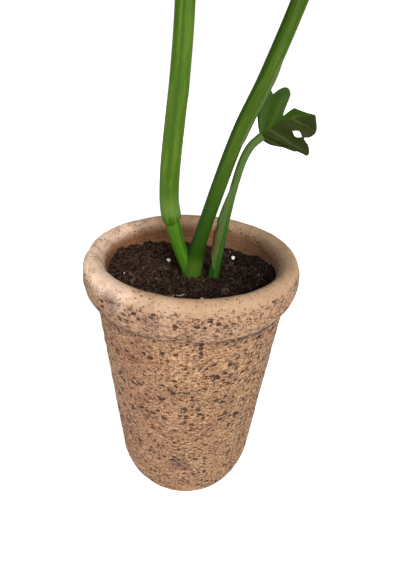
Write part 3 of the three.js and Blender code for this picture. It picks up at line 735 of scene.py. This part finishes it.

# ---------------------------------------------------------------- cane and leaf stalks
# The cane is the plant's short true stem. It leans to the left out of the soil and carries the
# left leaf's stalk on a ringed node, where a painted highlight lightens the stalk just above the ring,
# and the middle leaf's stalk clasps its foot. Each is a round section carried along a curve, with
# fine lengthwise ribs, scars and a smooth green skin.
cane_path = np.array([
    (0, 3, -30), (-1, 3, -2), (-6.4, 1, 15), (-11.1, 0, 28.8), (-14.6, 0, 42.6), (-16.6, 0, 52),
]) / 1000 + [0, 0, ground]
left_stalk_path = np.array([
    (-15.0, 0, 44.2), (-15.4, 0, 46.2), (-17.5, 0, 59.4), (-17.2, 0, 79.8), (-13.5, 0, 116),
    (-11.6, 0, 132), (-9.1, 4, 180), (-13, 14, 232), (-24, 29, 281),
]) / 1000 + [0, 0, ground]
middle_stalk_path = np.array([
    (0.6, 2.4, -8), (2, 1.5, 11), (3.9, 0, 26.2), (11.6, 0, 56.4), (27.1, 0, 107.6),
    (38.6, 0, 134.4), (55, 3, 180), (68, 9, 225), (78, 17, 265),
]) / 1000 + [0, 0, ground]
right_stalk_path = np.array([
    (16.2, 0, -24), (16.7, 0, 1.4), (19.8, 0, 26.4), (23.4, 0, 52.4), (26.9, 0, 74),
    (31, 0, 90.6), (34.9, 0, 98.6), (39.2, 0, 103), (41.5, -0.2, 105),
]) / 1000 + [0, 0, ground]


def curve_at(knots, share):
    """A smooth curve through its knots, whose speed follows the root of each gap (centripetal), at
    a share from 0 to 1 that counts the knots evenly."""
    ends = [2 * knots[0] - knots[1], 2 * knots[-1] - knots[-2]]
    knots = np.concatenate([ends[:1], knots, ends[1:]])
    place = np.clip(share, 0, 1) * (len(knots) - 3)
    index = np.minimum(place.astype(int), len(knots) - 4)
    part = (place - index)[..., None]
    p0, p1, p2, p3 = (knots[index + step] for step in range(4))
    pairs = ((p0, p1), (p1, p2), (p2, p3))
    d0, d1, d2 = (np.sqrt(np.linalg.norm(q - p, axis=-1, keepdims=True)) for p, q in pairs)
    start = ((p1 - p0) / d0 - (p2 - p0) / (d0 + d1) + (p2 - p1) / d1) * d1
    end = ((p2 - p1) / d1 - (p3 - p1) / (d1 + d2) + (p3 - p2) / d2) * d1
    cubic = 2 * p1 - 2 * p2 + start + end
    square = -3 * p1 + 3 * p2 - 2 * start - end
    return ((cubic * part + square) * part + start) * part + p1


def stem_frame(knots, share):
    """Centres at a share of the stem's length, with the directions to its right and its front."""
    centre_line = even_steps(curve_at(knots, np.linspace(0, 1, 800)), 800)
    line_share = np.linspace(0, 1, 800)
    ahead_line = np.gradient(centre_line, axis=0)

    def sample(line):
        return np.stack([np.interp(share, line_share, axis) for axis in line.T], axis=-1)

    centre, ahead = sample(centre_line), sample(ahead_line)
    ahead /= np.linalg.norm(ahead, axis=-1, keepdims=True)
    right = np.cross([0.0, 1.0, 0.0], ahead)
    right /= np.linalg.norm(right, axis=-1, keepdims=True)
    return centre, right, np.cross(right, ahead)


def stem_length(knots):
    """The length of the curve through the knots."""
    line = curve_at(knots, np.linspace(0, 1, 800))
    return np.linalg.norm(np.diff(line, axis=0), axis=-1).sum()


def grow_stem(knots, radius_at, rings, sides, slant=0.0, marks=()):
    """A round section carried along a curve: bearing 0 is right and a quarter turn is front.
    radius_at takes the distance along in metres and the bearing. The base may be cut on a slant,
    which fades out along the stem. Marks are scars: a bearing, a distance along and a radius."""
    length = stem_length(knots)
    bearing = np.linspace(0, 2 * math.pi, sides + 1)
    along = np.linspace(0, length, rings)[:, None] + 0 * bearing
    along = along + slant * np.cos(bearing) * np.clip(1 - along / 0.03, 0, 1)
    along = np.clip(along, 0, length)
    centre, right, front = stem_frame(knots, along / length)
    out = np.cos(bearing)[:, None] * right + np.sin(bearing)[:, None] * front
    radius = radius_at(along, bearing + 0 * along)
    scar = np.zeros(radius.shape)
    for mark_bearing, mark_along, mark_size in marks:
        turn = np.angle(np.exp(1j * (bearing - mark_bearing))) * radius
        away = np.hypot(turn, along - mark_along) / mark_size
        scar = np.maximum(scar, np.clip(1.3 - away, 0, 1))
        radius = radius + 0.25 * mark_size * (np.exp(-((away - 1.2) * 3) ** 2) - 1.3 * np.exp(-away ** 2))
    points = centre + out * radius[..., None]
    points[:, -1] = points[:, 0]
    points = np.concatenate([centre[:1] + 0 * points[:1], points, centre[-1:] + 0 * points[:1]])
    around = np.broadcast_to(bearing / (2 * math.pi), along.shape)
    values = np.stack([around, along, scar], axis=-1)
    values = np.concatenate([values[:1], values, values[-1:]])
    return points, values


def skin_group():
    """Green skin: long streaks from noise that is stretched along the stem, faint freckles, and a darker line
    down it at the bearing Line, painted shade on the middle stalk. The place is the bearing as a share of a
    turn, and the distance along."""
    inputs = {
        "Place": "Vector", "Main": "Color", "Light": "Color", "Dark": "Color",
        "Line": "Float", "Line Width": "Float",
    }
    group, given, result = new_group("green_skin", inputs, {"Colour": "Color", "Relief": "Float"})
    parts = add_node(group, "SeparateXYZ", {0: given["Place"]}).outputs
    turn = maths(group, "MULTIPLY", parts[0], 2 * math.pi)
    wrapped = {0: maths(group, "COSINE", turn), 1: maths(group, "SINE", turn)}
    wrapped[2] = maths(group, "MULTIPLY", parts[1], 22.0)
    wrapped = add_node(group, "CombineXYZ", wrapped).outputs[0]
    streak = grain(group, wrapped, 2.6, 4.0, 0.6)
    fine_streak = grain(group, wrapped, 9.0, 3.0, 0.6)
    colour = blend(group, level(group, streak, 0.42, 0.68), given["Main"], given["Light"])
    colour = coat(group, level(group, fine_streak, 0.5, 0.7), 0.35, colour, given["Dark"])
    off_line = maths(group, "ABSOLUTE", maths(group, "SUBTRACT", parts[0], given["Line"]))
    off_line = maths(group, "MULTIPLY_ADD", maths(group, "SUBTRACT", streak, 0.5), 0.08, off_line)
    line = level(group, off_line, given["Line Width"], 0.0)
    colour = coat(group, line, 0.7, colour, given["Dark"])
    group.links.new(colour, result["Colour"])
    group.links.new(maths(group, "ADD", fine_streak, streak), result["Relief"])
    return group


green_skin = skin_group()


def skin(name, main, light, dark, line, line_width, roughness, tints=()):
    """A green skin of the given colours, with brown scars. Tints are more colours and where they lie,
    by the distance along: rising from the first, full from the second to the third, gone at the fourth."""
    material, tree, shader = paint(name)
    place = add_node(tree, "UVMap", uv_map="place").outputs[0]
    settings = {
        "Place": place, "Main": main, "Light": light, "Dark": dark, "Line": line, "Line Width": line_width,
    }
    body = add_node(tree, "Group", settings, node_tree=green_skin)
    colour, along = body.outputs[0], add_node(tree, "SeparateXYZ", {0: place}).outputs[1]
    for tint, share, limits in tints:
        inside = maths(tree, "MULTIPLY", level(tree, along, *limits[:2]), level(tree, along, *limits[:1:-1]))
        colour = coat(tree, inside, share, colour, tint)
    colour = coat(tree, attribute(tree, "scar"), 0.85, colour, (0.05, 0.03, 0.012, 1))
    dress(tree, shader, colour, body.outputs[1], (0.35, 0.0004), roughness, 0.08)
    return material


def plant_stem(name, stem, material, node_name):
    """Makes a stem's piece from its grid and puts it in place of its solid."""
    piece = make_piece(name, [stem], extras=("scar",))
    piece.data.materials.append(material)
    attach(piece, "root")
    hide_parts(node_name)


def ribs(bearing, along, count, depth):
    """Fine lengthwise ribs that drift a little round the stem."""
    return depth * np.sin(count * bearing + 2.0 * np.sin(along * 40))


def cane_radius(along, bearing):
    """Swells a little at the soil and towards the node."""
    foot = 0.0006 * np.exp(-((along - 0.03) / 0.008) ** 2)
    return 0.0050 + foot + 0.0003 * np.clip((along - 0.06) / 0.02, 0, 1) + ribs(bearing, along, 9, 0.00007)


def left_stalk_radius(along, bearing):
    """A rounded lip that clasps the cane, a flare above it, then a slow taper to a knee under the leaf."""
    lip = np.sqrt(np.clip(1 - (1 - np.clip(along / 0.0045, 0, 1)) ** 2, 0, 1))
    flare = 0.0003 * np.exp(-((along - 0.009) / 0.006) ** 2)
    body = 0.00665 * (1 - 0.38 * np.clip((along - 0.045) / 0.21, 0, 1))
    knee = 0.0006 * np.exp(-((along - 0.238) / 0.008) ** 2)
    front_groove = 0.0003 * np.exp(-((bearing - 1.6) / 0.3) ** 2) * np.clip(along / 0.05 - 0.4, 0, 1)
    return 0.0046 + (body - 0.0046 + flare) * lip + knee - front_groove + ribs(bearing, along, 11, 0.00008)


def middle_stalk_radius(along, bearing):
    """Wider at the foot, where it clasps the cane, and slimmer upwards to a knee under the leaf."""
    towards_cane = (0.5 - 0.5 * np.cos(bearing)) ** 2
    foot = (0.0006 + 0.0032 * towards_cane) * np.exp(-((along - 0.014) / 0.018) ** 2)
    knee = 0.0005 * np.exp(-((along - 0.278) / 0.008) ** 2)
    return 0.0052 * (1 - 0.26 * (along / 0.29) ** 2) + foot + knee + ribs(bearing, along, 10, 0.00008)


def right_stalk_radius(along, bearing):
    """Slim, with a groove down the front of its foot."""
    swell = 0.0026 * np.clip(1 - along / 0.074, 0, 1)
    foot_groove = 0.0009 * np.exp(-((bearing - 1.5) / 0.3) ** 2) * np.clip(1.5 - along / 0.06, 0, 1)
    return 0.0027 + swell - foot_groove + ribs(bearing, along, 7, 0.00005)


cane_skin = skin(
    "cane_skin", (0.030, 0.092, 0.004, 1), (0.045, 0.12, 0.008, 1), (0.014, 0.05, 0.002, 1),
    0.08, 0.06, 0.6,
)
# The left stalk's pale tint just above its lip at the node is a painted highlight on the flare.
left_skin = skin(
    "left_stalk_skin", (0.031, 0.068, 0.0025, 1), (0.052, 0.092, 0.006, 1), (0.016, 0.045, 0.0015, 1),
    0.26, 0.06, 0.55,
    tints=[((0.075, 0.125, 0.022, 1), 0.6, (0.004, 0.009, 0.012, 0.026))],
)
# The middle stalk's dark line at 0.42 of a turn is painted shade down its left side, and its pale tint near
# the foot is a painted highlight.
middle_skin = skin(
    "middle_stalk_skin", (0.019, 0.045, 0.0005, 1), (0.031, 0.058, 0.0015, 1), (0.008, 0.026, 0.0008, 1),
    0.42, 0.09, 0.55,
    tints=[
        ((0.007, 0.032, 0.0006, 1), 0.75, (0.02, 0.03, 0.05, 0.10)),
        ((0.045, 0.09, 0.010, 1), 0.55, (0.004, 0.01, 0.02, 0.032)),
    ],
)
right_skin = skin(
    "right_stalk_skin", (0.014, 0.050, 0.004, 1), (0.025, 0.068, 0.008, 1), (0.004, 0.022, 0.001, 1),
    0.3, 0.08, 0.55,
    tints=[((0.040, 0.068, 0.014, 1), 0.8, (0.07, 0.095, 0.2, 0.25))],
)
cane_marks = [(1.15, 0.0680, 0.0010), (0.75, 0.0690, 0.0008)]
cane_stem = grow_stem(cane_path, cane_radius, 160, 48, marks=cane_marks)
plant_stem("cane_stem", cane_stem, cane_skin, "cane")
left_marks = [(3.1, 0.037, 0.0007), (3.3, 0.034, 0.0004), (3.0, 0.018, 0.0009)]
left_stalk = grow_stem(left_stalk_path, left_stalk_radius, 420, 64, slant=0.0035, marks=left_marks)
plant_stem("left_stalk", left_stalk, left_skin, "left_petiole")
middle_stalk = grow_stem(middle_stalk_path, middle_stalk_radius, 380, 56)
plant_stem("middle_stalk", middle_stalk, middle_skin, "middle_petiole")
right_stalk = grow_stem(right_stalk_path, right_stalk_radius, 240, 40)
plant_stem("right_stalk", right_stalk, right_skin, "right_petiole")

# ---------------------------------------------------------------- sheaths
# A thin papery wing grows along each of the two right-hand stalks, where the stalk once wrapped
# the next leaf. It is a sheet rooted in the stalk's skin whose free edge stands away from it.
def sheath_grid(knots, radius_at, limits, bearings, wing, seed, rows=140, columns=15):
    """From the root bearing to the edge bearing round the stalk, and out from its skin by the square
    of the distance across, tapering at both ends, with a wavy edge."""
    length = stem_length(knots)
    along = np.linspace(*limits, rows)[:, None]
    across = np.linspace(0, 1, columns)[None]
    share = (along - limits[0]) / (limits[1] - limits[0])
    taper = np.sin(math.pi * (0.04 + 0.92 * share)) ** 0.7
    wave = 1 + 0.2 * value_noise(np.stack([share * 14, 0 * share, 0 * share], axis=-1), seed)
    bearing = bearings[0] + (bearings[1] - bearings[0]) * across * taper
    centre, right, front = stem_frame(knots, (along + 0 * across) / length)
    skin_radius = radius_at(along + 0 * across, bearing)
    out = skin_radius - 0.0002 + wing * taper * wave * across ** 1.6 + 0.0004 * across
    direction = np.cos(bearing)[..., None] * right + np.sin(bearing)[..., None] * front
    points = centre + direction * out[..., None]
    return points, np.stack([across + 0 * along, along + 0 * across], axis=-1)


def papery(name, main, light, edge, edge_from, dry_limits):
    """A thin dry skin: streaks along it, with a brown edge where it has dried."""
    material, tree, shader = paint(name)
    place = add_node(tree, "UVMap", uv_map="place").outputs[0]
    across, along, _ = add_node(tree, "SeparateXYZ", {0: place}).outputs
    streak_place = {0: maths(tree, "MULTIPLY", across, 3.0), 1: maths(tree, "MULTIPLY", along, 30.0)}
    streak = grain(tree, add_node(tree, "CombineXYZ", streak_place).outputs[0], 3.0, 4.0, 0.6)
    colour = blend(tree, level(tree, streak, 0.35, 0.65), main, light)
    dry = maths(tree, "MULTIPLY", level(tree, along, *dry_limits[:2]), level(tree, along, *dry_limits[:1:-1]))
    ragged = maths(tree, "MULTIPLY_ADD", maths(tree, "SUBTRACT", streak, 0.5), 0.6, across)
    dry = maths(tree, "MULTIPLY", dry, level(tree, ragged, edge_from, edge_from + 0.25))
    dress(tree, shader, blend(tree, dry, colour, edge), streak, (0.5, 0.0004), 0.7, 0.15)
    return material


sheaths = [
    ("middle_sheath", middle_stalk_path, middle_stalk_radius, (0.111, 0.162), (0.9, -0.2), 0.0006,
     papery("green_sheath", (0.034, 0.056, 0.012, 1), (0.048, 0.072, 0.02, 1), (0.05, 0.035, 0.012, 1), 0.7,
            (0.1, 0.11, 0.118, 0.13)), "sheath_green"),
    ("right_sheath", right_stalk_path, right_stalk_radius, (0.034, 0.100), (1.6, 3.1), 0.0028,
     papery("pale_sheath", (0.026, 0.052, 0.007, 1), (0.042, 0.074, 0.014, 1), (0.05, 0.022, 0.008, 1), 0.55,
            (0.044, 0.05, 0.064, 0.072)), "sheath_pale"),
]
for number, (name, knots, radius_at, limits, bearings, wing, material, slot_name) in enumerate(sheaths):
    grid = sheath_grid(knots, radius_at, limits, bearings, wing, 120 + number)
    sheath = make_piece(f"{name}_wing", [grid], thickness=0.0004)
    sheath.data.materials.append(material)
    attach(sheath, "root")
    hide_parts(name)

# ---------------------------------------------------------------- grown leaves
# Two broad heart-shaped leaves, deeply slit between their side veins and with small holes beside
# the midrib. Each half blade is a row of lobes on one curved surface, folded at the midrib.
heart_margin = np.array([
    (-0.03, 0.03, 0), (-0.19, 0.28, 0), (-0.2, 0.64, 0), (-0.05, 0.92, 0), (0.17, 1, 0),
    (0.43, 0.93, 0), (0.69, 0.68, 0), (0.88, 0.21, 0), (1, 0, 0),
])
heart_bounds = [0, 0.21, 0.37, 0.5, 0.61, 0.71, 0.81, 1]
through_margin = 2
heart_openings = [
    (1, 0.6, through_margin, 0.014), (2, 0.5, through_margin, 0.017), (3, 0.4, through_margin, 0.017),
    (4, 0.4, through_margin, 0.017), (5, 0.4, through_margin, 0.017), (6, 0.6, through_margin, 0.015),
    (3, 0.1, 0.3, 0.03), (4, 0.1, 0.3, 0.03),
]


def opening_at(openings, bound, reach):
    """How far an opening pushes its two edges apart: a hole closes again, and a slit runs out."""
    width = np.zeros(reach.shape)
    for at_bound, start, end, size in openings:
        if at_bound == bound:
            share = np.clip((reach - start) / (min(end, 1) - start), 0, 1)
            shape = np.sin(math.pi * share) if end <= 1 else share ** 0.6
            inside = (reach > start + 1e-6) & (reach < end - 1e-6)
            width = np.where(inside, size * shape, width)
    return width


def half_blade(surface, bounds, openings, rows, columns, flipped, lobe_corner=0.09):
    """Lobes side by side around the margin, joined near the midrib. surface takes the share around
    the margin and the reach from midrib to margin, and each point also keeps its nearness to a lobe's middle
    line."""
    patches = []
    for lobe in range(len(bounds) - 1):
        reach = np.linspace(0, 1, rows)[:, None]
        across = np.linspace(0, 1, columns)[None]
        start = bounds[lobe] + opening_at(openings, lobe, reach)
        end = bounds[lobe + 1] - opening_at(openings, lobe + 1, reach)
        around = start + (end - start) * across
        cut = 1 - lobe_corner * reach ** 4 * np.abs(2 * across - 1) ** 3
        off_vein = np.abs(2 * across - 1) + 0 * reach
        points = surface(around, reach * cut)
        values = np.stack([around, reach + 0 * across, off_vein, 0 * around], axis=-1)
        if flipped:
            points, values = points[:, ::-1], values[:, ::-1]
        patches.append((points, values))
    return patches


def heart_surface(length, half_width, side):
    """A blade before it is placed: x from stalk to tip, y across and z up. Straight side veins run
    from the midrib to the margin, lean back a little, and the blade folds, droops and arches."""
    def surface(around, reach):
        foot = np.zeros(around.shape + (3,))
        foot[..., 0] = length * np.maximum((around - 0.3) / 0.7, 0) ** 1.15
        vein = curve_at(heart_margin, around) * [length, half_width * side, 0] - foot
        lean = 0.07 * 4 * reach * (1 - reach) * np.linalg.norm(vein, axis=-1)
        points = foot + vein * reach[..., None]
        points[..., 0] -= lean
        across = np.abs(points[..., 1])
        points[..., 2] = 0.2 * across - 0.34 * across ** 2 / half_width - 0.3 * points[..., 0] ** 2 / length
        quilt = (np.sin(around * 60) - 1) * np.sin(math.pi * np.clip(reach, 0, 1)) * 0.0008
        points[..., 2] += quilt
        return points
    return surface


def turn_matrix(roll, pitch, heading):
    """Roll about x, then pitch about y, then heading about z, in degrees."""
    r, p, h = np.radians([roll, pitch, heading])
    about_x = np.array([[1, 0, 0], [0, math.cos(r), -math.sin(r)], [0, math.sin(r), math.cos(r)]])
    about_y = np.array([[math.cos(p), 0, math.sin(p)], [0, 1, 0], [-math.sin(p), 0, math.cos(p)]])
    about_z = np.array([[math.cos(h), -math.sin(h), 0], [math.sin(h), math.cos(h), 0], [0, 0, 1]])
    return about_z @ about_y @ about_x


grown_leaf, tree, shader = paint("grown_leaf")
place = add_node(tree, "TexCoord").outputs["Object"]
off_vein = attribute(tree, "off_vein")
under = attribute(tree, "under")
reach = add_node(tree, "SeparateXYZ", {0: add_node(tree, "UVMap", uv_map="place").outputs[0]}).outputs[1]
cloud = grain(tree, place, 45.0, 3.0)
base = blend(tree, cloud, (0.007, 0.028, 0.003, 1), (0.016, 0.052, 0.006, 1))
vein = maths(tree, "MULTIPLY", level(tree, off_vein, 0.07, 0.0), level(tree, reach, 1.0, 0.5))
vein = maths(tree, "MAXIMUM", vein, level(tree, reach, 0.035, 0.0))
base = coat(tree, vein, 0.6, base, (0.06, 0.12, 0.02, 1))
base = coat(tree, under, 0.6, base, (0.04, 0.085, 0.018, 1))
tree.links.new(base, shader.inputs["Base Color"])
cells = grain(tree, place, 700.0, 3.0)
bump = add_node(tree, "Bump", {"Height": cells, "Strength": 0.15, "Distance": 0.0005})
tree.links.new(bump.outputs[0], shader.inputs["Normal"])
shader.inputs["Roughness"].default_value = 0.68
shader.inputs["Specular IOR Level"].default_value = 0.08

leaves = [
    ("left_leaf", 0.225, 0.1216, (-15, 28, 190), left_stalk_path, 0.0041),
    ("middle_leaf", 0.2, 0.1077, (15, 30, 6), middle_stalk_path, 0.00385),
]
for name, length, half_width, turns, knots, stalk_radius in leaves:
    turn = turn_matrix(*turns)
    stalk_end = knots[-1]
    ahead = curve_at(knots, np.array([0.999, 1.0]))
    ahead = (ahead[1] - ahead[0]) / np.linalg.norm(ahead[1] - ahead[0])
    lift = stalk_radius * np.linalg.norm(np.cross(ahead, turn[:, 2])) + 0.0008
    origin = stalk_end + turn[:, 2] * lift
    patches = []
    for side in (1, -1):
        surface = heart_surface(length, half_width, side)
        patches += half_blade(surface, heart_bounds, heart_openings, 41, 17, side > 0)
    patches = [(points @ turn.T + origin, values) for points, values in patches]
    blade = make_piece(f"{name}_blade", patches, extras=("off_vein", "under"), thickness=0.0006)
    blade.data.materials.append(grown_leaf)
    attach(blade, "root")
    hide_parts(name)
    rib_x = np.linspace(0, 0.97, 30) * length
    rib = np.stack([rib_x, 0 * rib_x, -0.3 * rib_x ** 2 / length - 0.0008], axis=-1) @ turn.T + origin
    rib_path = np.concatenate([[stalk_end - ahead * 0.006, stalk_end + ahead * 0.001], rib[2::3]])
    rib_length = stem_length(rib_path)

    def rib_radius(along, bearing):
        """Tapers from the stalk's thickness to nothing at the tip."""
        foot = np.clip(1 - along / 0.03, 0.45, 1)
        return stalk_radius * 0.85 * (1 - along / rib_length) ** 0.8 * foot + 0.0002

    midrib = make_piece(f"{name}_midrib", [grow_stem(rib_path, rib_radius, 160, 20)], extras=("scar",))
    midrib.data.materials.append(middle_skin)
    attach(midrib, "root")

# ---------------------------------------------------------------- young leaf
# The newest leaf is small and still half folded along its midrib, on the slim right-hand stalk.
# Its upper half stands up like a fan, and its darker lower half is pleated and hangs to the right.
young_midrib = np.array([(0, 0, 0), (9, -1, 8.5), (18, -2, 11.8), (31, -4, 14.0)]) / 1000
young_upper = np.array([
    (-1, 1.5, 3), (-3, 4, 15), (1, 6, 29), (5.6, 6, 26.2), (12.5, 6, 27.8), (16.5, 5, 25.7),
    (19.4, 2, 17.9), (24.5, -1, 15.2), (31, -4, 14.0),
]) / 1000
young_lower = np.array([
    (1, -1.5, -1.5), (8, -4, -4.2), (18, -5, -5.6), (25, -5, -7.6), (30.5, -5, -9),
    (31.4, -5, -4), (31.2, -5, 1.2), (33, -5, 5.6), (31, -4, 14.0),
]) / 1000
young_bounds = [0, 0.375, 0.6875, 1]
young_end = right_stalk_path[-2]
young_out = curve_at(right_stalk_path[:-1], np.array([0.999, 1.0]))
young_out = (young_out[1] - young_out[0]) / np.linalg.norm(young_out[1] - young_out[0])
young_origin = young_end + young_out * 0.0018


def young_surface(margin, pleats, depth, cup):
    """Straight lines from the midrib to the margin, then pushed along the surface's normal by
    pleats that fan out from the stalk and by a shallow cup."""
    def flat(around, reach):
        foot = curve_at(young_midrib, np.maximum((around - 0.2) / 0.8, 0) ** 2)
        return foot + (curve_at(margin, around) - foot) * reach[..., None]

    def surface(around, reach):
        step = 0.004
        low, high = np.clip(around - step, 0, 1), np.clip(around + step, 0, 1)
        sideways = flat(high, reach + 0.05) - flat(low, reach + 0.05)
        normal = np.cross(sideways, flat(around, reach + 0.1) - flat(around, reach))
        normal /= np.maximum(np.linalg.norm(normal, axis=-1, keepdims=True), 1e-12)
        rise = np.clip(reach, 0, 1)
        pleat = depth * np.sin(2 * math.pi * pleats * around) * rise ** 0.7 * (1.3 - rise ** 3)
        return flat(around, reach) + normal * (pleat + cup * rise * (1 - rise))[..., None]
    return surface


young_green, tree, shader = paint("young_leaf")
place = add_node(tree, "TexCoord").outputs["Object"]
on_leaf = add_node(tree, "UVMap", uv_map="place").outputs[0]
reach = add_node(tree, "SeparateXYZ", {0: on_leaf}).outputs[1]
lower = attribute(tree, "lower")
cloud = grain(tree, place, 160.0, 3.0)
upper_base = blend(tree, cloud, (0.0105, 0.028, 0.0010, 1), (0.0175, 0.038, 0.002, 1))
lower_base = blend(tree, cloud, (0.0075, 0.0118, 0.0006, 1), (0.013, 0.0175, 0.0012, 1))
base = blend(tree, lower, upper_base, lower_base)
off_vein = attribute(tree, "off_vein")
vein = maths(tree, "MULTIPLY", level(tree, off_vein, 0.16, 0.0), level(tree, reach, 1.0, 0.4))
base = coat(tree, vein, 0.5, base, (0.036, 0.052, 0.008, 1))
dress(tree, shader, base, cloud, (0.3, 0.0008), 0.6, 0.06)

upper_openings = [(2, 0.3, through_margin, 0.062)]
lower_openings = [(2, 0.42, 0.72, 0.05), (2, 0.80, through_margin, 0.05)]
upper_surface = young_surface(young_upper, 2.5, 0.0007, 0.0)
lower_surface = young_surface(young_lower, 4.0, 0.0008, 0.0)
upper_half = half_blade(upper_surface, young_bounds, upper_openings, 41, 21, True)
lower_half = half_blade(lower_surface, young_bounds, lower_openings, 41, 21, False)
patches = []
for is_lower, half in ((0, upper_half), (1, lower_half)):
    for points, values in half:
        values = np.concatenate([values, 0 * values[..., :1] + is_lower], axis=-1)
        patches.append((points + young_origin, values))
young_blade = make_piece("young_leaf_blade", patches, extras=("off_vein", "under", "lower"), thickness=0.0006)
young_blade.data.materials.append(young_green)
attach(young_blade, "root")
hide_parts("young_leaf")
